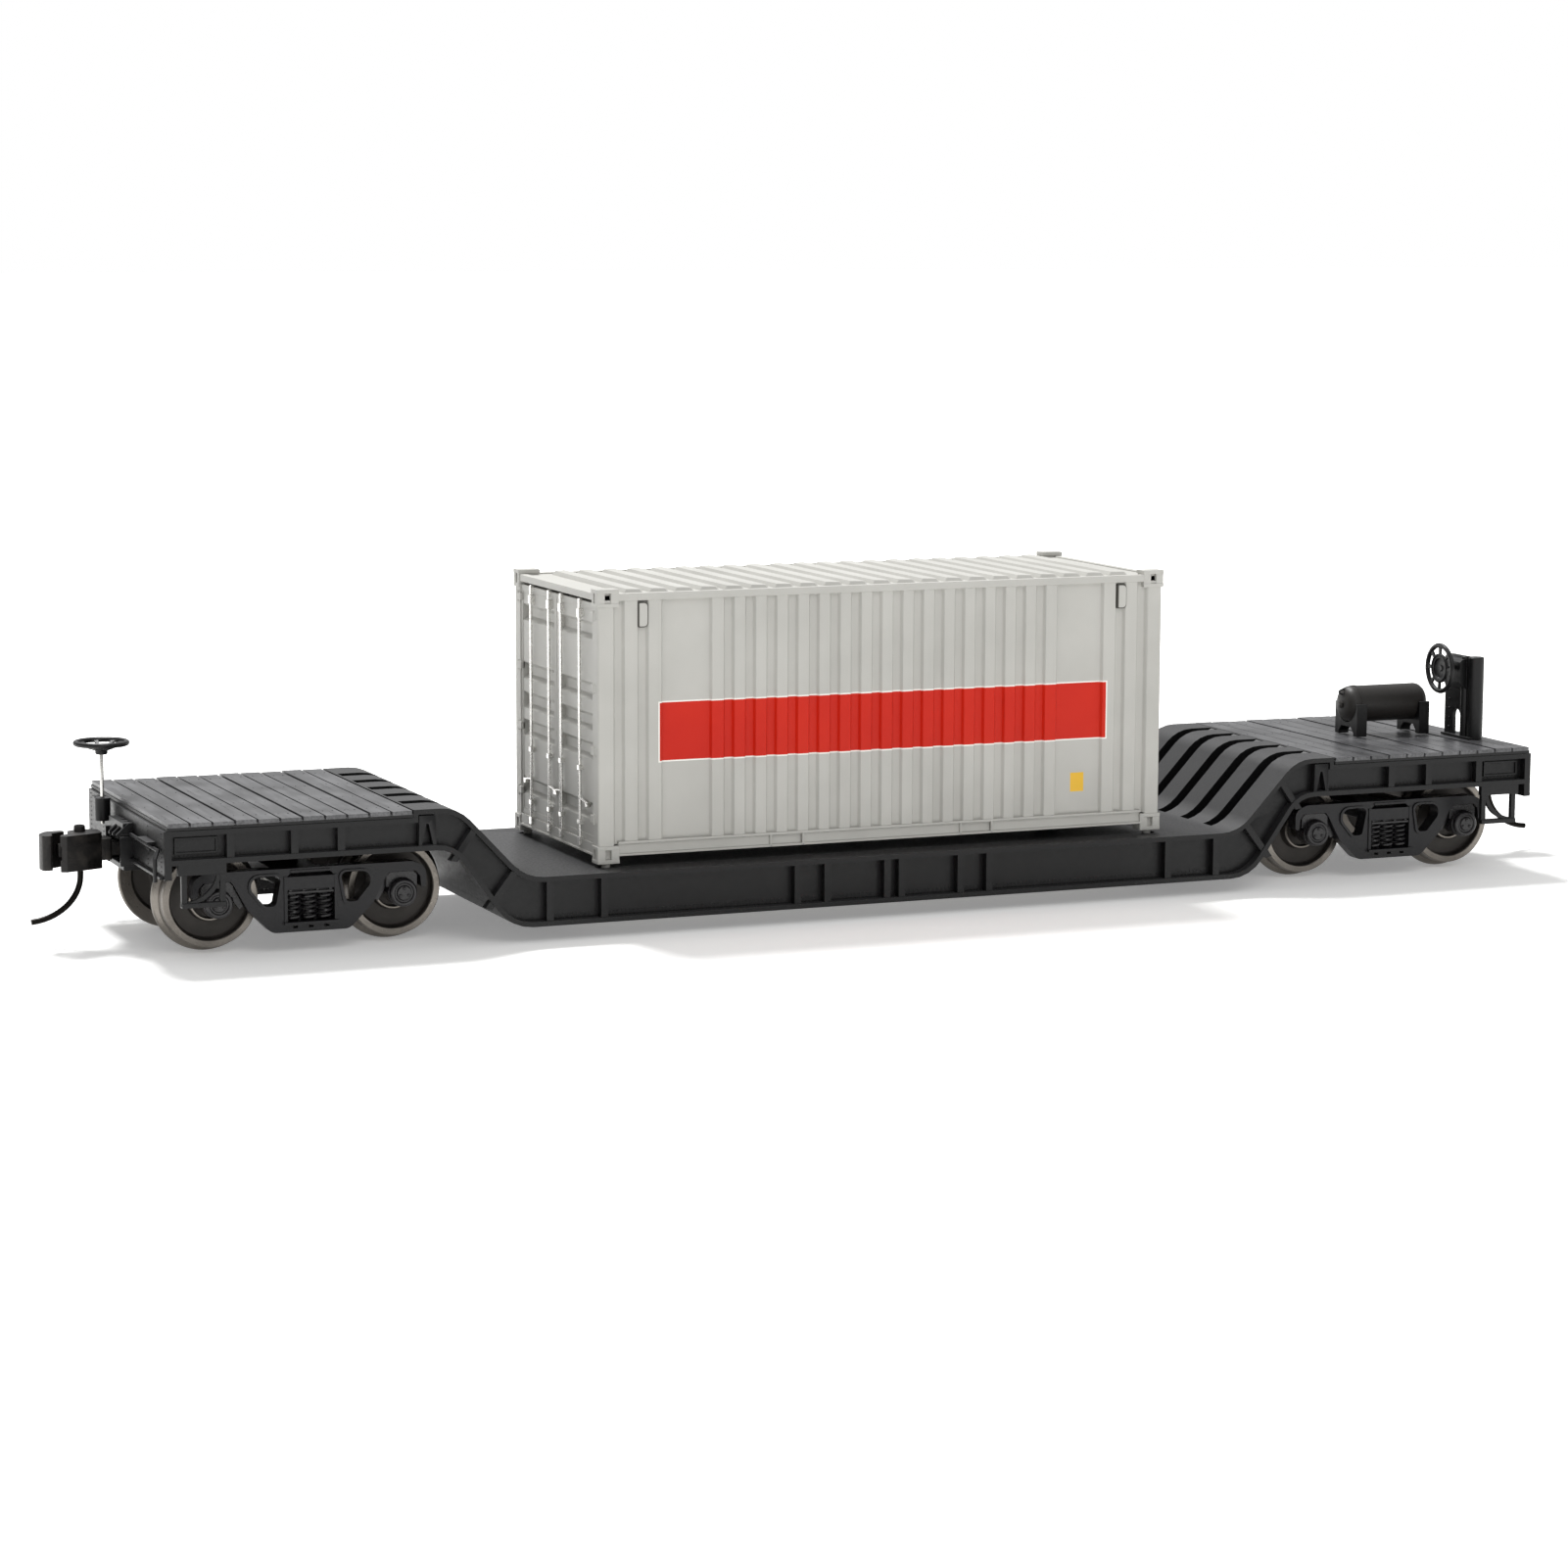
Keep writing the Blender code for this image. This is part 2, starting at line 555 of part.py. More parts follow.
def make_stirrup(name, side, flank, body):
    """A U-shaped footstep under the outer end of a side sill."""
    near = BODY_END - 6.4 * MM
    far = BODY_END - 1.8 * MM
    bar = 0.45 * MM
    top = PLATFORM_BOTTOM - GAP
    low = top - 4.0 * MM
    loop = [(near, top), (near, low), (far, low), (far, top), (far - bar, top), (far - bar, low + bar),
            (near + bar, low + bar), (near + bar, top)]
    bm = fresh()
    edges = sorted((flank * (HALF_WIDTH - 0.15 * MM), flank * (HALF_WIDTH - 0.85 * MM)))
    add_outline(bm, [[(side * u, v) for u, v in loop]], "XZ", *edges)
    piece(name, bm, BLACK_PLASTIC, body)


# ================================================================= trucks
def side_frame(name, flank, truck):
    """A cast side frame: arched beam, two windows, a spring bay and a bearing at each end."""
    top = SIDE_FRAME_TOP
    journal = AXLE_X
    low = 2.1 * MM
    half = SPRING_BAY + 1.0 * MM
    right = [(journal - 1.2 * MM, top, 1.0 * MM), (journal + 2.3 * MM, top - 0.7 * MM, 1.2 * MM),
             (journal + 2.6 * MM, AXLE_HEIGHT - 1.0 * MM, 0.4 * MM),
             (journal + 1.5 * MM, AXLE_HEIGHT - 1.6 * MM, 0),
             (journal - 1.9 * MM, AXLE_HEIGHT - 1.3 * MM, 0.5 * MM), (half + 1.0 * MM, low, 0.8 * MM)]
    left = [(-u, v, r) for u, v, r in right[::-1]]
    outline = rounded(right + left, 3)
    loops = [outline]
    for side in (-1, 1):
        inner = half + 0.25 * MM
        window = [(side * inner, top - 1.15 * MM, 0.5 * MM),
                  (side * (inner + 3.0 * MM), top - 1.15 * MM, 0.8 * MM),
                  (side * (inner + 0.3 * MM), AXLE_HEIGHT - 1.1 * MM, 0.5 * MM)]
        loops.append(rounded(window, 2))
    bay = SPRING_BAY
    loops.append([(-bay, SPRING_SEAT - 0.1 * MM), (bay, SPRING_SEAT - 0.1 * MM),
                  (bay, BOLSTER_TOP + 0.1 * MM - 0.4 * MM), (-bay, BOLSTER_TOP + 0.1 * MM - 0.4 * MM)])
    near = SIDE_FRAME_INNER
    far = near + SIDE_FRAME_THICKNESS
    bm = fresh()
    add_outline(bm, loops, "XZ", *sorted((flank * near, flank * far)))
    frame = piece(name, bm, TRUCK_PLASTIC, truck)
    bm = fresh()
    for side in (-1, 1):
        add_rod(bm, (side * journal, flank * (far - SINK * 3), AXLE_HEIGHT),
                (side * journal, flank * (far + 0.7 * MM), AXLE_HEIGHT), BEARING_CAP, BEARING_CAP * 0.86)
    combine(frame, bm, "UNION", "bearing_caps")
    bm = fresh()
    tip = AXLE_LENGTH / 2 + RUNNING * 2
    for side in (-1, 1):
        add_rod(bm, (side * journal, flank * (near - 0.2 * MM), AXLE_HEIGHT),
                (side * journal, flank * tip, AXLE_HEIGHT), AXLE_RADIUS + 0.5 * MM, 0.15 * MM)
    combine(frame, bm, "DIFFERENCE", "bearing_cones")


def spring_pack(name, flank, truck):
    """Three coil columns between a lower and an upper plate, under the bolster's end."""
    width = SPRING_BAY - 0.15 * MM
    near = SIDE_FRAME_INNER + 0.3 * MM
    far = SIDE_FRAME_INNER + SIDE_FRAME_THICKNESS - 0.2 * MM
    low = SPRING_SEAT - 0.1 * MM + GAP
    high = BOLSTER_TOP - BOLSTER_HEIGHT - GAP
    lo_y, hi_y = sorted((flank * near, flank * far))
    bm = fresh()
    add_box(bm, (-width, lo_y, low), (width, hi_y, low + 0.3 * MM))
    pack = piece(name, bm, TRUCK_PLASTIC, truck)
    bm = fresh()
    middle = flank * (near + far) / 2
    for k in (-1, 0, 1):
        add_rod(bm, (k * 1.8 * MM, middle, low + 0.2 * MM), (k * 1.8 * MM, middle, high - 0.2 * MM),
                0.75 * MM, segments=12)
    combine(pack, bm, "UNION", "coils")
    bm = fresh()
    add_box(bm, (-width, lo_y, high - 0.3 * MM), (width, hi_y, high))
    combine(pack, bm, "UNION", "top_plate")


def make_truck(end, side):
    truck = axis_empty("truck_" + end + "_pivot", (side * TRUCK_X, 0, 0))
    bm = fresh()
    reach = SIDE_FRAME_INNER + SIDE_FRAME_THICKNESS - 0.1 * MM
    bottom = BOLSTER_TOP - BOLSTER_HEIGHT
    width = SPRING_BAY - 0.15 * MM
    add_box(bm, (-width, -reach, bottom), (width, reach, BOLSTER_TOP - 0.4 * MM))
    bolster = piece("truck_" + end + "_bolster", bm, TRUCK_PLASTIC, truck)
    bm = fresh()
    add_rod(bm, (0, 0, bottom + 0.2 * MM), (0, 0, BOLSTER_TOP + 0.5 * MM), 2.3 * MM, segments=20)
    combine(bolster, bm, "UNION", "centre_plate")
    bm = fresh()
    add_rod(bm, (0, 0, bottom - 1 * MM), (0, 0, BOLSTER_TOP + 1 * MM), TRUCK_SCREW_RADIUS + RUNNING)
    combine(bolster, bm, "DIFFERENCE", "screw_hole")
    for flank, label in ((-1, "near"), (1, "far")):
        side_frame("truck_" + end + "_side_frame_" + label, flank, truck)
        spring_pack("truck_" + end + "_springs_" + label, flank, truck)
    for k, label in ((-1, "1"), (1, "2")):
        make_wheelset("truck_" + end + "_wheelset_" + label, k, truck)


def make_wheelset(name, k, truck):
    spin = axis_empty(name + "_axis", (k * AXLE_X, 0, AXLE_HEIGHT), truck)
    half = AXLE_LENGTH / 2
    seat = SIDE_FRAME_INNER + 0.25 * MM
    profile = [(0, half), (0.7 * MM, seat), (AXLE_RADIUS, seat - 0.15 * MM),
               (AXLE_RADIUS, 0.15 * MM - seat), (0.7 * MM, -seat), (0, -half)]
    axle = turned_piece(name + "_axle", profile, AXLE_STEEL, 16, spin)
    axle.rotation_euler = (math.pi / 2, 0, 0)
    tread = WHEEL_DIAMETER / 2
    rim = tread - 0.75 * MM
    bore = AXLE_RADIUS + 0.03 * MM
    wide = WHEEL_WIDTH
    profile = [(tread - 0.1 * MM, wide), (tread, 0.8 * MM), (tread + FLANGE_DEPTH, 0.45 * MM),
               (tread + FLANGE_DEPTH - 0.2 * MM, 0), (bore, 0), (bore, wide - 0.5 * MM),
               (rim - 0.15 * MM, wide - 0.6 * MM), (rim, wide)]
    for flank, label in ((-1, "near"), (1, "far")):
        wheel = turned_piece(name + "_wheel_" + label, profile, WHEEL_METAL, 24, spin, ring=True)
        wheel.rotation_euler = (math.pi / 2 * -flank, 0, 0)
        wheel.location = (0, flank * BACK_TO_BACK / 2, 0)


def make_truck_screw(end, side, body):
    low = BOLSTER_TOP - BOLSTER_HEIGHT - GAP
    top = UNDER_DECK
    radius = TRUCK_SCREW_RADIUS
    profile = [(0, top), (radius * 0.6, top), (radius, top - 0.4 * MM), (radius, low),
               (2.0 * MM, low), (1.9 * MM, low - 0.8 * MM), (0, low - 0.8 * MM)]
    screw = turned_piece("truck_screw_" + end, profile, SCREW_STEEL, 16, body)
    screw.location = (side * TRUCK_X, 0, 0)


# =============================================================== couplers
def make_coupler(end, side, body):
    """Built pointing along +X from its pivot, then turned to face out of its own end."""
    turn = 0.0 if side > 0 else math.pi
    swing = axis_empty("coupler_" + end + "_pivot", (side * COUPLER_X, 0, COUPLER_HEIGHT), None, turn)
    nose = COUPLER_PIVOT_INSET + COUPLER_REACH
    rear = nose - 6.6 * MM
    half = SHANK_THICKNESS / 2

    bm = fresh()
    ring = circle(0, 0, 1.75 * MM, 18, math.pi / 18)
    hole = circle(0, 0, 0.8 * MM + RUNNING, 12)
    add_outline(bm, [ring, hole], "XY", -half, half)
    head = piece("coupler_" + end + "_head", bm, COUPLER_METAL, swing)
    bm = fresh()
    add_box(bm, (1.5 * MM, -0.85 * MM, -half + 0.05 * MM), (rear + 0.3 * MM, 0.85 * MM, half - 0.05 * MM))
    combine(head, bm, "UNION", "shank")
    bm = fresh()
    pin_x = nose - 4.5 * MM
    plan = [(rear, -1.3 * MM), (rear + 2.6 * MM, -1.7 * MM), (nose - 3.3 * MM, -1.3 * MM),
            (nose - 3.3 * MM, 0.7 * MM), (nose - 2.0 * MM, 1.7 * MM), (nose - 1.7 * MM, 2.5 * MM),
            (nose - 2.3 * MM, 2.7 * MM), (rear + 1.6 * MM, 1.9 * MM), (rear, 1.3 * MM)]
    add_outline(bm, [plan], "XY", -2.0 * MM, 1.95 * MM)
    combine(head, bm, "UNION", "head")
    bm = fresh()
    add_box(bm, (pin_x - 1.0 * MM, -2.2 * MM, -0.8 * MM), (nose, 0.55 * MM, 0.8 * MM))
    combine(head, bm, "DIFFERENCE", "knuckle_slot")
    bm = fresh()
    add_rod(bm, (pin_x, -0.4 * MM, -3 * MM), (pin_x, -0.4 * MM, 3 * MM), PIN_RADIUS + RUNNING, segments=12)
    combine(head, bm, "DIFFERENCE", "pin_hole")

    hinge = axis_empty("knuckle_" + end + "_axis", (pin_x, -0.4 * MM, 0), swing)
    front = nose - pin_x
    bm = fresh()
    tail = [(-0.75 * MM, -0.7 * MM), (front - 2.0 * MM, -1.0 * MM), (front - 2.0 * MM, 0.5 * MM),
            (-0.75 * MM, 0.7 * MM)]
    add_outline(bm, [tail], "XY", -0.72 * MM, 0.72 * MM)
    knuckle = piece("coupler_" + end + "_knuckle", bm, COUPLER_METAL, hinge)
    bm = fresh()
    jaw = [(front - 2.9 * MM, -1.7 * MM, 0.2 * MM), (front - 0.7 * MM, -1.5 * MM, 0.6 * MM),
           (front, 0.2 * MM, 0.5 * MM), (front - 0.2 * MM, 1.5 * MM, 0.3 * MM),
           (front - 1.2 * MM, 1.3 * MM, 0.2 * MM), (front - 1.4 * MM, 0.1 * MM, 0.3 * MM),
           (front - 2.9 * MM, -0.95 * MM, 0)]
    add_outline(bm, [rounded(jaw, 2)], "XY", -1.9 * MM, 1.8 * MM)
    combine(knuckle, bm, "UNION", "jaw")
    bm = fresh()
    add_rod(bm, (0, 0, -2 * MM), (0, 0, 2 * MM), PIN_RADIUS + 0.03 * MM, segments=12)
    combine(knuckle, bm, "DIFFERENCE", "pin_hole")

    make_trip_pin("coupler_" + end + "_trip_pin", hinge)
    make_centring_spring("coupler_" + end + "_spring", side, turn, body)
    make_coupler_lid(end, side, turn, body)


def make_trip_pin(name, hinge):
    """Round steel wire: the knuckle's pin, carried on down and curved outwards."""
    drop = 2.9 * MM
    radius = 5.6 * MM
    places = [(0, 2.5 * MM), (0, -drop + 1.2 * MM), (0, -drop)]
    for k in range(1, 8):
        angle = math.radians(78) * k / 7
        places.append((radius * (1 - math.cos(angle)) * 1.05, -drop - radius * math.sin(angle) * 0.86))
    last = places[-1]
    places.append((last[0] + 0.9 * MM, last[1] - 0.12 * MM))
    curve = bpy.data.curves.new(name, "CURVE")
    curve.dimensions = "3D"
    curve.bevel_depth = PIN_RADIUS
    curve.bevel_resolution = 2
    curve.use_fill_caps = True
    spline = curve.splines.new("POLY")
    spline.points.add(len(places) - 1)
    for point, (x, z) in zip(spline.points, places):
        point.co = (x, 0, z, 1)
    pin = bpy.data.objects.new(name, curve)
    car.objects.link(pin)
    pin.data.materials.append(BRIGHT_WIRE)
    pin.parent = hinge


def make_centring_spring(name, side, turn, body):
    """A bent bronze strip behind the pivot, with a leaf along each side of the shank."""
    out = BOX_HALF_WIDTH - 0.1 * MM
    thick = 0.15 * MM
    back = -BOX_HALF_WIDTH + 0.1 * MM
    front = 3.4 * MM
    loop = [(back, -out), (front, -out), (front, thick - out), (back + thick, thick - out),
            (back + thick, out - thick), (front, out - thick), (front, out), (back, out)]
    bm = fresh()
    add_outline(bm, [loop], "XY", -0.6 * MM, 0.6 * MM)
    spring = piece(name, bm, SPRING_BRONZE, body)
    spring.location = (side * COUPLER_X, 0, COUPLER_HEIGHT)
    spring.rotation_euler = (0, 0, turn)


def make_coupler_lid(end, side, turn, body):
    """The draft-gear box's lid, screwed up into the pivot post."""
    under = -BOX_HEIGHT / 2 - GAP
    thick = 0.6 * MM
    bm = fresh()
    add_box(bm, (-BOX_HALF_WIDTH - BOX_WALL, -BOX_HALF_WIDTH - BOX_WALL, under - thick),
            (COUPLER_PIVOT_INSET + 1.0 * MM, BOX_HALF_WIDTH + BOX_WALL, under))
    lid = piece("coupler_box_lid_" + end, bm, BLACK_PLASTIC, body)
    lid.location = (side * COUPLER_X, 0, COUPLER_HEIGHT)
    lid.rotation_euler = (0, 0, turn)
    bm = fresh()
    add_rod(bm, (0, 0, under - 1 * MM), (0, 0, under + 1 * MM), 0.42 * MM, segments=12)
    combine(lid, bm, "DIFFERENCE", "screw_hole")
    low = under - thick - GAP
    radius = 0.42 * MM - GAP
    profile = [(0, 1.2 * MM), (radius, 1.0 * MM), (radius, low), (0.95 * MM, low),
               (0.85 * MM, low - 0.45 * MM), (0, low - 0.45 * MM)]
    screw = turned_piece("coupler_box_screw_" + end, profile, SCREW_STEEL, 12, body)
    screw.location = (side * COUPLER_X, 0, COUPLER_HEIGHT)


def make_lever(end, side, body):
    """The uncoupling lever: a wire held in front of the end sill, cranked down at its outer end."""
    face = 0.1 * MM + 0.22 * MM
    bar = 0.22 * MM
    y_in = BOX_HALF_WIDTH + BOX_WALL + 0.4 * MM
    y_out = HALF_WIDTH - 1.4 * MM
    z = COUPLER_HEIGHT + 1.9 * MM
    places = [(face, y_in, z), (face, y_out, z), (face + 0.5 * MM, y_out + 0.7 * MM, z - 0.8 * MM),
              (face + 0.5 * MM, y_out + 0.7 * MM, z - 3.2 * MM)]
    curve = bpy.data.curves.new("uncoupling_lever_" + end, "CURVE")
    curve.dimensions = "3D"
    curve.bevel_depth = bar
    curve.bevel_resolution = 1
    curve.use_fill_caps = True
    spline = curve.splines.new("POLY")
    spline.points.add(len(places) - 1)
    for point, place in zip(spline.points, places):
        point.co = (*place, 1)
    lever = bpy.data.objects.new("uncoupling_lever_" + end, curve)
    car.objects.link(lever)
    lever.data.materials.append(BLACK_PLASTIC)
    lever.location = (side * BODY_END, 0, 0)
    lever.rotation_euler = (0, 0, 0.0 if side > 0 else math.pi)
    lever.parent = body


# ========================================================= brake fittings
def wheel_loops(radius, holes=8):
    """The flat outline of a brake wheel: a rim, and openings between it and the centre disc."""
    loops = [circle(0, 0, radius, 32)]
    inner = radius * 0.6
    outer = radius * 0.88
    for k in range(holes):
        middle = 2 * math.pi * (k + 0.5) / holes
        wide = math.pi / holes * 0.66
        arc = [(outer, middle - wide), (outer, middle), (outer, middle + wide),
               (inner, middle + wide * 0.8), (inner, middle - wide * 0.8)]
        loops.append([(r * math.cos(a), r * math.sin(a)) for r, a in arc])
    return loops


def make_hand_brake(body):
    """End a: an upright staff in a bush on the end sill, with a level hand wheel on top."""
    x = -BODY_END - 1.1 * MM
    bush_top = PLATE_TOP + 0.6 * MM
    bush_low = bush_top - 2.5 * MM
    outer = 0.85 * MM
    bore = STAFF_RADIUS + RUNNING
    bm = fresh()
    add_outline(bm, [circle(0, 0, outer, 20), circle(0, 0, bore, 12)], "XY", bush_low, bush_top)
    bush = piece("brake_staff_bush", bm, BLACK_PLASTIC, body)
    bush.location = (x, STAFF_Y, 0)
    turn = axis_empty("hand_brake_axis", (x, STAFF_Y, 0))
    bm = fresh()
    add_rod(bm, (0, 0, bush_low - 0.4 * MM), (0, 0, STAFF_TOP - 0.2 * MM), STAFF_RADIUS, segments=12)
    piece("hand_brake_staff", bm, BRIGHT_WIRE, turn)
    bm = fresh()
    add_outline(bm, wheel_loops(HAND_WHEEL_RADIUS), "XY", STAFF_TOP - 0.15 * MM, STAFF_TOP + 0.2 * MM)
    wheel = piece("hand_brake_wheel", bm, BLACK_PLASTIC, turn)
    bm = fresh()
    add_rod(bm, (0, 0, STAFF_TOP - 1.5 * MM), (0, 0, STAFF_TOP - 0.75 * MM), 0.65 * MM, 0.7 * MM, 16)
    combine(wheel, bm, "UNION", "hub")
    bm = fresh()
    add_rod(bm, (0, 0, STAFF_TOP - 0.8 * MM), (0, 0, STAFF_TOP + 0.1 * MM), 0.6 * MM, 1.7 * MM, 16)
    combine(wheel, bm, "UNION", "dish")
    bm = fresh()
    add_rod(bm, (0, 0, STAFF_TOP - 3 * MM), (0, 0, STAFF_TOP - 0.15 * MM),
            STAFF_RADIUS + 0.03 * MM, segments=12)
    combine(wheel, bm, "DIFFERENCE", "bore")


def make_brake_stand(body):
    """End b: a pressed-steel stand on the planks, and the brake wheel on its inner face."""
    x = BODY_END - STAND_X_INSET
    low = PLATFORM_HEIGHT + GAP
    high = low + STAND_HEIGHT
    half = STAND_WIDTH / 2
    bm = fresh()
    fold = 0.9 * MM
    plan = [(x - 0.3 * MM, STAND_Y + half), (x - 0.3 * MM, STAND_Y - half), (x + fold, STAND_Y - half),
            (x + fold, STAND_Y - half + 0.5 * MM), (x + 0.3 * MM, STAND_Y - half + 0.5 * MM),
            (x + 0.3 * MM, STAND_Y + half - 0.5 * MM), (x + fold, STAND_Y + half - 0.5 * MM),
            (x + fold, STAND_Y + half)]
    add_outline(bm, [plan], "XY", low, high)
    stand = piece("brake_stand", bm, BLACK_PLASTIC, body)
    wheel_y = STAND_Y + 0.2 * MM
    wheel_z = high - 1.5 * MM
    bm = fresh()
    add_box(bm, (x - 1.3 * MM, STAND_Y - 1.5 * MM, high - 4.2 * MM),
            (x - 0.25 * MM, STAND_Y + 1.7 * MM, high - 0.4 * MM))
    combine(stand, bm, "UNION", "gear_housing")
    bm = fresh()
    post_y = STAND_Y - 2.0 * MM
    add_rod(bm, (x - 0.1 * MM, post_y, low + 0.05 * MM), (x - 0.1 * MM, post_y, high - 0.05 * MM),
            0.75 * MM, segments=12)
    combine(stand, bm, "UNION", "post")
    bm = fresh()
    add_box(bm, (x - 1 * MM, STAND_Y - 0.3 * MM, low + 0.3 * MM),
            (x + 1 * MM, STAND_Y + 1.3 * MM, low + 3.6 * MM))
    add_rod(bm, (x - 2 * MM, wheel_y, wheel_z), (x - 0.6 * MM, wheel_y, wheel_z),
            0.35 * MM + RUNNING, segments=12)
    combine(stand, bm, "DIFFERENCE", "slot_and_bore")

    face = x - 3.2 * MM
    spin = axis_empty("brake_wheel_axis", (face, wheel_y, wheel_z))
    bm = fresh()
    add_outline(bm, wheel_loops(HAND_WHEEL_RADIUS), "YZ", -0.2 * MM, 0.15 * MM)
    wheel = piece("brake_wheel", bm, BLACK_PLASTIC, spin)
    bm = fresh()
    add_rod(bm, (-0.1 * MM, 0, 0), (0.6 * MM, 0, 0), 1.7 * MM, 0.8 * MM, 16)
    combine(wheel, bm, "UNION", "dish")
    bm = fresh()
    add_rod(bm, (0.5 * MM, 0, 0), (2.4 * MM, 0, 0), 0.35 * MM, segments=12)
    combine(wheel, bm, "UNION", "shaft")


def make_reservoir(body):
    """The air reservoir: a tank with domed ends, lying along the car on two saddles."""
    half = TANK_LENGTH / 2
    dome = 1.5 * MM
    radius = TANK_RADIUS
    steps = 4
    angles = [math.pi / 2 * k / steps for k in range(steps + 1)]
    profile = [(radius * math.sin(a), half - dome + dome * math.cos(a)) for a in angles]
    profile += [(r, -h) for r, h in profile[::-1]]
    profile[0] = (0, half)
    profile[-1] = (0, -half)
    tank = turned_piece("air_reservoir", profile, BLACK_PLASTIC, 20, body)
    tank.rotation_euler = (0, math.pi / 2, 0)
    centre = BODY_END - TANK_INSET
    tank.location = (centre, 0, PLATFORM_HEIGHT + TANK_CENTRE_HEIGHT)
    bm = fresh()
    for side in (-1, 1):
        x = side * (half - 1.5 * MM)
        # In the tank's own frame -X is up, so a saddle hangs towards +X.
        add_box(bm, (-0.3 * MM, -2.3 * MM, x - 0.75 * MM),
                (TANK_CENTRE_HEIGHT - GAP, 2.3 * MM, x + 0.75 * MM))
    combine(tank, bm, "UNION", "saddles")
    bm = fresh()
    # An opening under each saddle, which leaves it two feet.
    add_box(bm, (TANK_CENTRE_HEIGHT - 1.1 * MM, -1.2 * MM, -half),
            (TANK_CENTRE_HEIGHT + 1 * MM, 1.2 * MM, half))
    combine(tank, bm, "DIFFERENCE", "feet")


# ============================================================== container
def even_recesses(half, pitch):
    """Recesses of one width, evenly spaced over a stretch that reaches half to each side."""
    count = max(1, round(2 * half / pitch))
    step = 2 * half / count
    return [(step * (k - (count - 1) / 2), RECESS) for k in range(count)]


def side_recesses(half_x):
    """Middle and width of every recess along a side: a broad one and two narrow ones at each end."""
    broad = half_x - WIDE_RECESS_INSET
    found = even_recesses(broad - WIDE_RECESS / 2 - RECESS / 2, CORRUGATION_PITCH)
    for side in (-1, 1):
        found.append((side * broad, WIDE_RECESS))
        found += [(side * (half_x - inset), RECESS) for inset in END_RECESS_INSETS]
    return sorted(found)


def corrugated(recesses, level, depth):
    """Points along a wall at level, stepping in by depth at each (middle, width)."""
    points = []
    for middle, width in recesses:
        edge = width / 2
        floor = edge - RECESS_SLOPE
        points += [(middle - edge, level), (middle - floor, level - depth),
                   (middle + floor, level - depth), (middle + edge, level)]
    return points


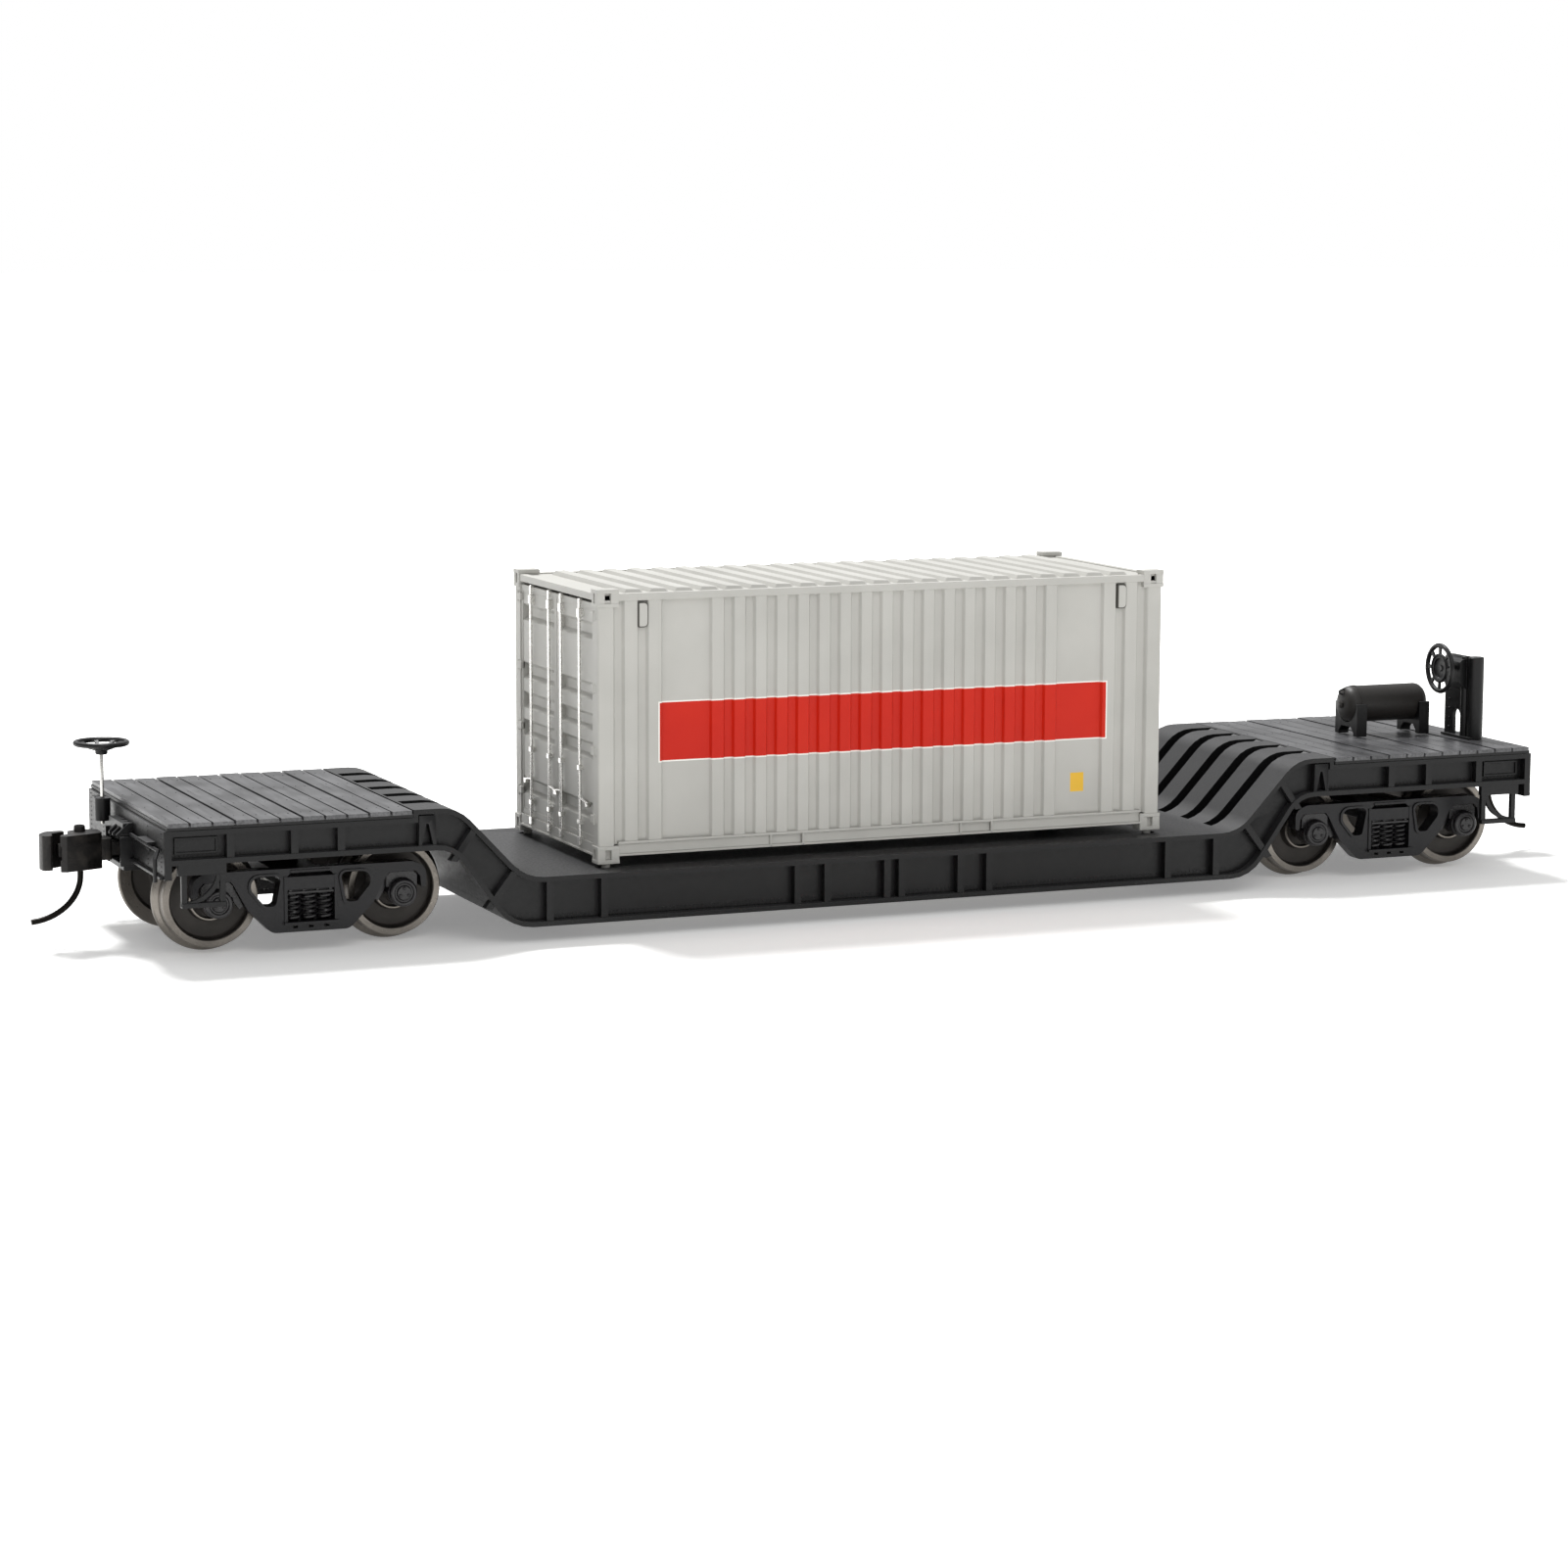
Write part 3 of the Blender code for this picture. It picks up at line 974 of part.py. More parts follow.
def make_container():
    lift = axis_empty("container_lift", (CONTAINER_SHIFT, 0, 0))
    half_x = CONTAINER_LENGTH / 2
    half_y = CONTAINER_WIDTH / 2
    low = CONTAINER_BOTTOM
    top = CONTAINER_TOP
    post = 1.5 * MM
    wall_y = half_y - 0.2 * MM
    wall_x = half_x - 0.3 * MM
    rail_top = low + 1.75 * MM
    header = top - 1.45 * MM

    # Side and end walls in plan, open at the door end: corrugated outside, plain inside.
    start = -(half_x - post + SINK)
    side_wall = corrugated(side_recesses(half_x), 0, CORRUGATION_DEPTH)
    end_wall = corrugated(even_recesses(half_y - post, CORRUGATION_PITCH), 0, CORRUGATION_DEPTH)
    plan = [(start, -wall_y)] + [(u, -wall_y - v) for u, v in side_wall] + [(wall_x, -wall_y)]
    plan += [(wall_x + v, u) for u, v in end_wall] + [(wall_x, wall_y)]
    plan += [(u, wall_y + v) for u, v in side_wall[::-1]] + [(start, wall_y)]
    inner_y = wall_y - CORRUGATION_DEPTH - WALL
    inner_x = wall_x - CORRUGATION_DEPTH - WALL
    plan += [(start, inner_y), (inner_x, inner_y), (inner_x, -inner_y), (start, -inner_y)]
    bm = fresh()
    add_outline(bm, [plan], "XY", rail_top - SINK, header + SINK)
    shell = piece("container_shell", bm, CONTAINER_GREY, lift)

    # The roof panel, pressed into ridges across the container.
    ridge = corrugated(even_recesses(half_x - 2.2 * MM, ROOF_PITCH), top - 0.3 * MM, ROOF_RISE)
    roof_x = half_x - 0.6 * MM
    roof = [(-roof_x, top - 0.45 * MM)] + ridge + [(roof_x, top - 0.45 * MM)]
    roof += [(roof_x, top - 1.2 * MM), (-roof_x, top - 1.2 * MM)]
    bm = fresh()
    add_outline(bm, [roof], "XZ", -(half_y - 1.2 * MM), half_y - 1.2 * MM)
    combine(shell, bm, "UNION", "roof")

    # Rails along the top and bottom edges, and the header and sill of each end.
    bm = fresh()
    for flank in (-1, 1):
        y = sorted((flank * (half_y - 0.08 * MM), flank * (half_y - 1.62 * MM)))
        add_box(bm, (-half_x + 0.25 * MM, y[0], header), (half_x - 0.25 * MM, y[1], top - 0.37 * MM))
        y = sorted((flank * (half_y - 0.25 * MM), flank * (half_y - 1.1 * MM)))
        add_box(bm, (-(half_x - CASTING.x - GAP), y[0], low + 0.35 * MM),
                (half_x - CASTING.x - GAP, y[1], rail_top))
    combine(shell, bm, "UNION", "side_rails")
    bm = fresh()
    for end in (-1, 1):
        x = sorted((end * (half_x - 0.12 * MM), end * (half_x - 1.33 * MM)))
        add_box(bm, (x[0], -half_y + 1.0 * MM, header - 0.1 * MM),
                (x[1], half_y - 1.0 * MM, top - 0.33 * MM))
        x = sorted((end * (half_x - 0.2 * MM), end * (half_x - 1.2 * MM)))
        # The bottom rail drops between the castings, and its upper lip meets the posts.
        reach = half_y - CASTING.y - GAP
        wide = half_y - 0.95 * MM
        lip = low + CASTING.z + GAP * 1.5
        sill_top = rail_top - 0.16 * MM
        fall = lip - 0.04 * MM
        rail = [(-reach, low + 0.35 * MM), (reach, low + 0.35 * MM), (reach, fall), (wide, lip),
                (wide, sill_top), (-wide, sill_top), (-wide, lip), (-reach, fall)]
        add_outline(bm, [rail], "YZ", *x)
    combine(shell, bm, "UNION", "end_rails")
    bm = fresh()
    for sx in (-1, 1):
        for sy in (-1, 1):
            x = sorted((sx * (half_x - 0.05 * MM), sx * (half_x - post)))
            y = sorted((sy * (half_y - 0.05 * MM), sy * (half_y - post)))
            add_box(bm, (x[0], y[0], low + CASTING.z + GAP), (x[1], y[1], header + 0.36 * MM))
    combine(shell, bm, "UNION", "corner_posts")
    bm = fresh()
    for sx in (-1, 1):
        for sy in (-1, 1):
            x = sorted((sx * half_x, sx * (half_x - CASTING.x)))
            y = sorted((sy * half_y, sy * (half_y - CASTING.y)))
            add_box(bm, (x[0], y[0], top - CASTING.z), (x[1], y[1], top))
    combine(shell, bm, "UNION", "top_castings")
    # The fork-lift pockets through both bottom rails.
    bm = fresh()
    for side in (-1, 1):
        middle = side * 11.8 * MM
        add_box(bm, (middle - 2.05 * MM, -half_y - 1 * MM, low - 1 * MM),
                (middle + 2.05 * MM, half_y + 1 * MM, low + 1.2 * MM))
    combine(shell, bm, "DIFFERENCE", "fork_pockets")

    make_container_floor(lift, half_x, half_y, low, inner_y)
    make_doors(lift, half_x, half_y, post, rail_top, header)


def make_container_floor(lift, half_x, half_y, low, inner_y):
    bm = fresh()
    reach_x = half_x - CASTING.x + 0.6 * MM
    reach_y = min(half_y - 1.1 * MM - GAP, inner_y - GAP)
    add_box(bm, (-reach_x, -reach_y, low + 0.5 * MM), (reach_x, reach_y, low + 1.2 * MM))
    floor = piece("container_floor", bm, CONTAINER_GREY, lift)
    bm = fresh()
    for sx in (-1, 1):
        for sy in (-1, 1):
            x = sorted((sx * half_x, sx * (half_x - CASTING.x)))
            y = sorted((sy * half_y, sy * (half_y - CASTING.y)))
            add_box(bm, (x[0], y[0], low), (x[1], y[1], low + CASTING.z))
    combine(floor, bm, "UNION", "bottom_castings")
    bm = fresh()
    for x, y in peg_places():
        add_rod(bm, (x, y, low + 0.3 * MM), (x, y, DECK_HEIGHT - 0.9 * MM), PEG_RADIUS, segments=12)
    combine(floor, bm, "UNION", "pegs")
    bm = fresh()
    for side in (-1, 1):
        middle = side * 11.8 * MM
        add_box(bm, (middle - 2.05 * MM, -half_y, low - 1 * MM),
                (middle + 2.05 * MM, half_y, low + 0.8 * MM))
    combine(floor, bm, "DIFFERENCE", "fork_pockets")


def make_doors(lift, half_x, half_y, post, rail_top, header):
    """The door end: both leaves as one panel with pressed channels, and four lock rods."""
    outer = -(half_x - 0.45 * MM)
    inner = outer + 0.9 * MM
    low = rail_top - 0.16 * MM + GAP
    high = header - 0.1 * MM - GAP
    reach = half_y - post - GAP
    shares = (0.11, 0.36, 0.49, 0.61, 0.87)
    channel = 1.3 * MM
    loop = [(outer, low)]
    for share in reversed(shares):
        middle = high - share * (high - low)
        loop += [(outer, middle - channel / 2), (outer + 0.3 * MM, middle - channel / 2 + 0.25 * MM),
                 (outer + 0.3 * MM, middle + channel / 2 - 0.25 * MM), (outer, middle + channel / 2)]
    loop += [(outer, high), (inner, high), (inner, low)]
    bm = fresh()
    add_outline(bm, [loop], "XZ", -reach, reach)
    doors = piece("container_doors", bm, CONTAINER_GREY, lift)
    bm = fresh()
    for y in (-reach + 0.55 * MM, -0.7 * MM, 0.7 * MM, reach - 0.55 * MM):
        add_box(bm, (outer - 0.06 * MM, y - 0.5 * MM, low + 0.05 * MM),
                (outer + 0.6 * MM, y + 0.5 * MM, high - 0.05 * MM))
    combine(doors, bm, "UNION", "door_frames")
    x = outer - 0.06 * MM - GAP - ROD_RADIUS
    places = [-ROD_OFFSETS[1], -ROD_OFFSETS[0], ROD_OFFSETS[0], ROD_OFFSETS[1]]
    for k, y in enumerate(places):
        bm = fresh()
        add_rod(bm, (0, 0, low + 0.1 * MM), (0, 0, high - 0.1 * MM), ROD_RADIUS, segments=10)
        rod = piece("lock_rod_" + str(k + 1), bm, BRIGHT_WIRE, lift)
        rod.location = (x, y, 0)
        bm = fresh()
        handle = low + 0.17 * (high - low)
        add_box(bm, (-0.12 * MM, -2.2 * MM, handle - 0.15 * MM), (0.14 * MM, 0.05 * MM, handle + 0.15 * MM))
        combine(rod, bm, "UNION", "handle")


# ================================================================ assembly
body_piece = make_body()
for end_name, end_side in (("a", -1), ("b", 1)):
    make_planks("plank_deck_" + end_name, end_side, body_piece)
    make_truck(end_name, end_side)
    make_truck_screw(end_name, end_side, body_piece)
    make_coupler(end_name, end_side, body_piece)
    make_lever(end_name, end_side, body_piece)
    make_stirrup("stirrup_" + end_name + "_near", end_side, -1, body_piece)
    make_stirrup("stirrup_" + end_name + "_far", end_side, 1, body_piece)
make_weight(body_piece)
make_hand_brake(body_piece)
make_brake_stand(body_piece)
make_reservoir(body_piece)
make_container()

for made in car.objects:
    if made.type == "MESH" and not made.modifiers:
        made.data.shade_smooth()
        made.data.set_sharp_from_angle(angle=math.radians(35))
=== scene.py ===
import math

import bmesh
import bpy
from mathutils import Matrix, Vector
from mathutils.geometry import tessellate_polygon


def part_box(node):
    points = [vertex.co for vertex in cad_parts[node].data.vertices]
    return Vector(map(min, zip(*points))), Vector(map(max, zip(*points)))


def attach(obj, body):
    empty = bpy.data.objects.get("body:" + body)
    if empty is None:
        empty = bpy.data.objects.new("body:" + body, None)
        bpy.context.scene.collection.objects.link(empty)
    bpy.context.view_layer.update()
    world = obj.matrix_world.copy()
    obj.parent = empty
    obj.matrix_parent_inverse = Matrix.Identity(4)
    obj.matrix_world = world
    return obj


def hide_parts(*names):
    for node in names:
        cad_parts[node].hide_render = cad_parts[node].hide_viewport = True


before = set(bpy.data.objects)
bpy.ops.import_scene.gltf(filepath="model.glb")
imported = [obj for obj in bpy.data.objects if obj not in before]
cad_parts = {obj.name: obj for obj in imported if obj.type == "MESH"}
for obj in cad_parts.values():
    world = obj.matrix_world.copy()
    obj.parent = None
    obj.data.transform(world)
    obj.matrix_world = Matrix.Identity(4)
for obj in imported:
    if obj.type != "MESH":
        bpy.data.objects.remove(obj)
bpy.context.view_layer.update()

# =============================================================== the studio
# A long lens looks slightly down at the car's near side, from beyond end a. The car stands
# on a pale table between two soft lamps, one in front and a brighter one above and behind,
# so black plastic keeps wide quiet highlights and the shadow stays faint.
MM = 0.001
VIEW_AZIMUTH = math.radians(22.77)
VIEW_FALL = math.radians(8.21)
VIEW_ROLL = 0.0035
VIEW_DISTANCE = 467.7 * MM
VIEW_LENS = 92.43
VIEW_TARGET = Vector((0, 0, 7.25)) * MM
VIEW_RIGHT = -5.90 * MM
VIEW_UP = 5.63 * MM

forward = Vector((math.sin(VIEW_AZIMUTH) * math.cos(VIEW_FALL),
                  math.cos(VIEW_AZIMUTH) * math.cos(VIEW_FALL), -math.sin(VIEW_FALL)))
level = forward.cross(Vector((0, 0, 1))).normalized()
upright = level.cross(forward)
right = level * math.cos(VIEW_ROLL) + upright * math.sin(VIEW_ROLL)
above = upright * math.cos(VIEW_ROLL) - level * math.sin(VIEW_ROLL)
camera = bpy.data.objects.new("camera", bpy.data.cameras.new("camera"))
bpy.context.scene.collection.objects.link(camera)
camera.data.lens = VIEW_LENS
camera.data.clip_start = 10 * MM
camera.matrix_world = Matrix((right, above, -forward)).transposed().to_4x4()
camera.location = VIEW_TARGET - forward * VIEW_DISTANCE + right * VIEW_RIGHT + above * VIEW_UP
bpy.context.scene.camera = camera
bpy.context.scene.view_settings.view_transform = "Standard"


def linear(colour):
    """An sRGB hex colour as linear red, green, blue and alpha."""
    channels = [int(colour[k:k + 2], 16) / 255 for k in (0, 2, 4)]
    return [c / 12.92 if c <= 0.04045 else ((c + 0.055) / 1.055) ** 2.4 for c in channels] + [1.0]


def add_node(material, kind, inputs=(), **settings):
    """Adds one node. Each input is a value, or an output of another node to link from."""
    made = material.node_tree.nodes.new("ShaderNode" + kind)
    for setting, value in settings.items():
        setattr(made, setting, value)
    for socket, value in dict(inputs).items():
        if isinstance(value, bpy.types.NodeSocket):
            material.node_tree.links.new(value, made.inputs[socket])
        else:
            made.inputs[socket].default_value = value
    return made


def new_material(name):
    """A new material and its Principled shader."""
    material = bpy.data.materials.new(name)
    material.use_nodes = True
    return material, material.node_tree.nodes["Principled BSDF"]


def soft_lamp(name, place, target, size, power):
    lamp = bpy.data.objects.new(name, bpy.data.lights.new(name, "AREA"))
    bpy.context.scene.collection.objects.link(lamp)
    lamp.data.shape = "DISK"
    lamp.data.size = size
    lamp.data.energy = power
    lamp.location = place
    lamp.rotation_euler = (Vector(target) - Vector(place)).to_track_quat("-Z", "Y").to_euler()


soft_lamp("front_lamp", (-0.05, -0.7, 0.65), (0, 0, 0), size=0.5, power=1.6)
soft_lamp("top_lamp", (-0.05, 0.4, 0.75), (0, 0, 0), size=0.22, power=10.0)

room = bpy.data.worlds.new("pale_room")
bpy.context.scene.world = room
room.use_nodes = True
wall_light = room.node_tree.nodes["Background"]
wall_light.inputs["Color"].default_value = linear("FFFFFF")
ray = room.node_tree.nodes.new("ShaderNodeLightPath")
# The walls are seen as plain white, and light the car a little less than that.
level_of_light = room.node_tree.nodes.new("ShaderNodeMapRange")
level_of_light.inputs["To Min"].default_value = 0.5
level_of_light.inputs["To Max"].default_value = 1.0
room.node_tree.links.new(ray.outputs["Is Camera Ray"], level_of_light.inputs["Value"])
room.node_tree.links.new(level_of_light.outputs[0], wall_light.inputs["Strength"])

TABLE_REACH = 4.0
table_mesh = bpy.data.meshes.new("table")
corners = [(x * TABLE_REACH, y * TABLE_REACH, -0.02 * MM) for x,
           y in ((-1, -1), (1, -1), (1, 1), (-1, 1))]
table_mesh.from_pydata(corners, [], [(0, 1, 2, 3)])
table = bpy.data.objects.new("table", table_mesh)
bpy.context.scene.collection.objects.link(table)
pale_laminate, shader = new_material("pale_matt_laminate")
place = add_node(pale_laminate, "TexCoord")
fleck = add_node(pale_laminate, "TexNoise",
                 {"Vector": place.outputs["Object"], "Scale": 1 / (40 * MM)})
tint = add_node(pale_laminate, "MixRGB", {"Fac": fleck.outputs[0], "Color1": linear("F4F4F2"),
                                          "Color2": linear("F8F8F7")})
pale_laminate.node_tree.links.new(tint.outputs[0], shader.inputs["Base Color"])
shader.inputs["Roughness"].default_value = 0.8
shader.inputs["Specular IOR Level"].default_value = 0.2
# The table is lit from below, more so away from the car, until it is as white as the walls.
distance = add_node(pale_laminate, "VectorMath", {0: place.outputs["Object"]}, operation="LENGTH")
glow = add_node(pale_laminate, "MapRange",
                {"Value": distance.outputs["Value"], "From Min": 0.12, "From Max": 0.4,
                                            "To Min": 0.24, "To Max": 0.7})
shader.inputs["Emission Color"].default_value = linear("FFFFFF")
pale_laminate.node_tree.links.new(glow.outputs[0], shader.inputs["Emission Strength"])
table_mesh.materials.append(pale_laminate)


# ============================================================== the car body
# The body is one injection moulding in black ABS: sunken deck, two ramps with five slots
# each, and ribbed side sills. Its skin is satin and very slightly mottled, and its edges
# are drawn with the small radius that a mould leaves. What faces up is painted paler, as
# dust and as a painted sheen that the tops catch from the light above.
def link_surface(links, shader, tone, matt, bump):
    """Joins a material's colour, roughness and relief to its shader."""
    for made, socket in ((tone, "Base Color"), (matt, "Roughness"), (bump, "Normal")):
        links.new(made.outputs[0], shader.inputs[socket])


def moulded_plastic(name, face, deep, rough, grain=0.30, depth=0.006, gloss=0.5, dust=None):
    """Moulded plastic: grain is its texture in mm, depth its height, dust the colour painted on tops: dust and
    painted sheen.
    """
    material, shader = new_material(name)
    links = material.node_tree.links
    place = add_node(material, "TexCoord").outputs["Object"]
    flow = add_node(material, "TexNoise", {"Vector": place, "Scale": 1 / (9 * MM), "Detail": 3.0})
    tone = add_node(material, "MixRGB", {"Fac": flow.outputs[0], "Color1": linear(deep),
                                         "Color2": linear(face)})
    skin = add_node(material, "TexNoise",
                    {"Vector": place, "Scale": 1 / (grain * MM), "Detail": 2.0})
    matt = add_node(material, "MapRange",
                    {"Value": skin.outputs[0], "From Min": 0.3, "From Max": 0.7,
                                           "To Min": rough - 0.05, "To Max": rough + 0.07})
    bump = add_node(material, "Bump", {"Height": skin.outputs[0], "Strength": 0.5,
                                       "Distance": depth * MM})
    # Faces that look up are painted towards the dust colour, as dust and as a painted sheen from above.
    if dust:
        upward = add_node(material, "SeparateXYZ",
                          {0: add_node(material, "NewGeometry").outputs["Normal"]})
        dust_and_sheen_mask = add_node(material, "MapRange",
                        {"Value": upward.outputs[2], "From Min": 0.35, "From Max": 0.95})
        tone = add_node(material, "MixRGB", {"Fac": dust_and_sheen_mask.outputs[0], "Color1": tone.outputs[0],
                                             "Color2": linear(dust)})
    link_surface(links, shader, tone, matt, bump)
    shader.inputs["Specular IOR Level"].default_value = gloss
    return material


# The black body's tops are painted paler with 353536: dust and a painted sheen.
body_abs = moulded_plastic("moulded_black_abs", "101011", "0B0B0C", 0.38, gloss=0.3, dust="353536")


def settle(piece, material, body, bevel=0.0, stands_for=()):
    """Shades a finished piece, rounds its edges by bevel mm, hangs it on its body and hides the CAD parts it
    stands for.
    """
    piece.data.materials.clear()
    piece.data.materials.append(material)
    piece.data.shade_smooth()
    piece.data.set_sharp_from_angle(angle=math.radians(32))
    if bevel:
        edge = piece.modifiers.new("mould_radius", "BEVEL")
        edge.width = bevel * MM
        edge.segments = 2
        edge.limit_method = "ANGLE"
        edge.angle_limit = math.radians(32)
        edge.harden_normals = True
    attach(piece, body)
    if stands_for:
        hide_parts(*stands_for)
    return piece


def new_piece(name, bm, material, body, bevel=0.0, stands_for=()):
    bmesh.ops.recalc_face_normals(bm, faces=bm.faces)
    mesh = bpy.data.meshes.new(name)
    bm.to_mesh(mesh)
    bm.free()
    piece = bpy.data.objects.new(name, mesh)
    bpy.context.scene.collection.objects.link(piece)
    return settle(piece, material, body, bevel, stands_for)


def dressed(node, material, body, bevel=0.0):
    """A CAD node's own shape with welded faces, smooth curves and rounded edges, in its place."""
    bm = bmesh.new()
    bm.from_mesh(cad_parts[node].data)
    bmesh.ops.remove_doubles(bm, verts=bm.verts, dist=0.001 * MM)
    bmesh.ops.dissolve_limit(bm, angle_limit=math.radians(0.5), verts=bm.verts, edges=bm.edges)
    return new_piece(node + "_finished", bm, material, body, bevel, (node,))


dressed("car_body", body_abs, "car", 0.07)

body_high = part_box("car_body")[1]
sill_bottom = 10.9 * MM
web_face = body_high.y - 1.1 * MM
RIVET_RADIUS = 0.1 * MM
RIVET_PITCH = 0.48 * MM


def add_rivet(bm, place, outward, radius=RIVET_RADIUS):
    """A low domed head on a face that looks along outward."""
    spin = Vector((0, 0, 1)).rotation_difference(Vector(outward)).to_matrix()
    rings = []
    for share, rise in ((1.0, -0.05), (0.75, 0.5)):
        rings.append([bm.verts.new(Vector(place) + spin @ Vector((
            radius * share * math.cos(math.pi * k / 3), radius * share * math.sin(math.pi * k / 3),
            radius * rise))) for k in range(6)])
    for k in range(6):
        bm.faces.new((rings[0][k - 1], rings[0][k], rings[1][k], rings[1][k - 1]))
    bm.faces.new(rings[1])
    bm.faces.new(rings[0][::-1])


def rivet_row(bm, start, end, outward):
    span = Vector(end) - Vector(start)
    count = max(2, round(span.length / RIVET_PITCH))
    for k in range(count):
        add_rivet(bm, Vector(start) + span * (k + 0.5) / count, outward)


# The rivet heads run in rows along the foot of every panel of the web, and up the end sill.
DECK_RIBS = (0.9, 8.2, 11.8, 34.7, 41.0)
SILL_RIBS = (64.4, 69.5, 76.45)
DECK_FOOT_ROWS = (2.45 * MM, 2.85 * MM)
SILL_FOOT_ROW = sill_bottom + 0.85 * MM
for flank, label in ((-1, "near"), (1, "far")):
    bm = bmesh.new()
    y = flank * web_face
    posts = sorted([-x for x in DECK_RIBS] + list(DECK_RIBS))
    for first, second in zip(posts, posts[1:]):
        for z in DECK_FOOT_ROWS:
            rivet_row(bm, ((first + 0.7) * MM, y, z), ((second - 0.7) * MM, y, z), (0, flank, 0))
    for side in (-1, 1):
        edges = [56.0] + list(SILL_RIBS) + [83.0]
        for first, second in zip(edges, edges[1:]):
            rivet_row(bm, (side * (first + 0.6) * MM, y, SILL_FOOT_ROW),
                      (side * (second - 0.6) * MM, y, SILL_FOOT_ROW),
                      (0, flank, 0))
    new_piece("rivets_" + label, bm, body_abs, "car")

# ================================================================ planked decks
# Each platform is laid with boards across the car, in dark grey ABS with a fine sawn grain.
# They stand a hair unevenly, with two nail heads over each stringer.
boards_abs, shader = new_material("moulded_board_abs")
links = boards_abs.node_tree.links
place = add_node(boards_abs, "TexCoord").outputs["Object"]
# Saw marks run along a board, across the car: 0.3 mm apart and 6 mm long, coarse enough to show.
stretch = add_node(boards_abs, "Mapping",
                   {"Vector": place, "Scale": (1 / (0.3 * MM), 1 / (6 * MM), 1 / (0.3 * MM))})
sawn = add_node(boards_abs, "TexNoise", {"Vector": stretch.outputs[0], "Scale": 1.0, "Detail": 3.0})
cloud = add_node(boards_abs, "TexNoise", {"Vector": place, "Scale": 1 / (6 * MM)})
shade = add_node(boards_abs, "Math", {0: sawn.outputs[0], 1: cloud.outputs[0]},
                 operation="MULTIPLY")
spread = add_node(boards_abs, "MapRange",
                  {"Value": shade.outputs[0], "From Min": 0.12, "From Max": 0.4})
tone = add_node(boards_abs, "MixRGB", {"Fac": spread.outputs[0], "Color1": linear("303032"),
                                       "Color2": linear("606062")})
matt = add_node(boards_abs, "MapRange", {"Value": sawn.outputs[0], "To Min": 0.2, "To Max": 0.46})
bump = add_node(boards_abs, "Bump", {"Height": sawn.outputs[0], "Strength": 0.7,
                                     "Distance": 0.02 * MM})
link_surface(links, shader, tone, matt, bump)


def block(bm, low, high):
    """A box between two corners, given in metres."""
    size = Vector(high) - Vector(low)
    middle = (Vector(high) + Vector(low)) / 2
    bmesh.ops.create_cube(bm, size=1.0, matrix=Matrix.Translation(middle)
                          @ Matrix.Diagonal((*size, 1.0)))


BOARDS = 11
BOARD_GAP = 0.25 * MM
BOARD_DEPTH = 0.5 * MM
NAIL_ROWS = (-14.0, -5.0, 5.0, 14.0)
NAIL_SHARES = (0.28, 0.72)
for end, side in (("a", -1), ("b", 1)):
    low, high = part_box("plank_deck_" + end)
    pitch = (high.x - low.x) / BOARDS
    bm = bmesh.new()
    for k in range(BOARDS):
        x = low.x + k * pitch
        sunk = 0.035 * MM * ((k * 7) % 3)
        block(bm, (x + BOARD_GAP / 2, low.y, high.z - BOARD_DEPTH),
              (x + pitch - BOARD_GAP / 2, high.y, high.z - sunk))
        for y in NAIL_ROWS:
            for share in NAIL_SHARES:
                add_rivet(bm, (x + share * pitch, y * MM, high.z - sunk), (0, 0, 1), 0.1 * MM)
    new_piece("boards_" + end, bm, boards_abs, "car", 0.04, ("plank_deck_" + end,))
    bm = bmesh.new()
    block(bm, low, (high.x, high.y, high.z - 0.42 * MM))
    new_piece("board_bearers_" + end, bm, body_abs, "car", 0.05)

# =========================================================== fittings of the ends
# Moulded on to each end sill: the striker casting with three fins round the coupler, a
# ledge and bracket that hold the uncoupling lever, and stirrup steps under the corners.
AXES = {"XY": (0, 1, 2), "XZ": (0, 2, 1), "YZ": (1, 2, 0)}


def plate(bm, loops, plane, low, high):
    """Fills flat outlines in mm, the first with holes in it, and thickens them from low to high mm."""
    first, second, third = AXES[plane]
    points = [point for loop in loops for point in loop]
    layers = []
    for offset in (low, high):
        layer = []
        for u, v in points:
            corner = [0.0, 0.0, 0.0]
            corner[first] = u * MM
            corner[second] = v * MM
            corner[third] = offset * MM
            layer.append(bm.verts.new(corner))
        layers.append(layer)
    bottom, top = layers
    flat = [[Vector((u, v, 0)) for u, v in loop] for loop in loops]
    for a, b, c in tessellate_polygon(flat):
        bm.faces.new((bottom[a], bottom[b], bottom[c]))
        bm.faces.new((top[c], top[b], top[a]))
    start = 0
    for loop in loops:
        for k in range(len(loop)):
            here = start + k
            there = start + (k + 1) % len(loop)
            bm.faces.new((bottom[here], bottom[there], top[there], top[here]))
        start += len(loop)


def mm_block(bm, x, y, z):
    """A box from pairs of mm."""
    block(bm, (min(x) * MM, min(y) * MM, min(z) * MM), (max(x) * MM, max(y) * MM, max(z) * MM))


def turned(bm, profile, foot, axis, steps=32, ring=False):
    """Spins (radius, height) points, in mm, about a line from foot along axis."""
    lean = Vector((0, 0, 1)).rotation_difference(Vector(axis)).to_matrix()
    rings = []
    for radius, height in profile:
        count = steps if radius > 0 else 1
        angles = [2 * math.pi * k / count for k in range(count)]
        rings.append([bm.verts.new((Vector(foot) + lean @ Vector((
            radius * math.cos(a), radius * math.sin(a), height))) * MM) for a in angles])
    pairs = list(zip(rings, rings[1:]))
    if ring:
        pairs.append((rings[-1], rings[0]))
    for lower, upper in pairs:
        for k in range(steps):
            corners = (lower[k % len(lower)], lower[(k + 1) % len(lower)],
                       upper[(k + 1) % len(upper)], upper[k % len(upper)])
            bm.faces.new(list(dict.fromkeys(corners)))


def rod(bm, start, end, radius, steps=12):
    length = (Vector(end) - Vector(start)).length
    turned(bm, ((0, 0), (radius, 0), (radius, length), (0, length)), start,
           Vector(end) - Vector(start), steps)


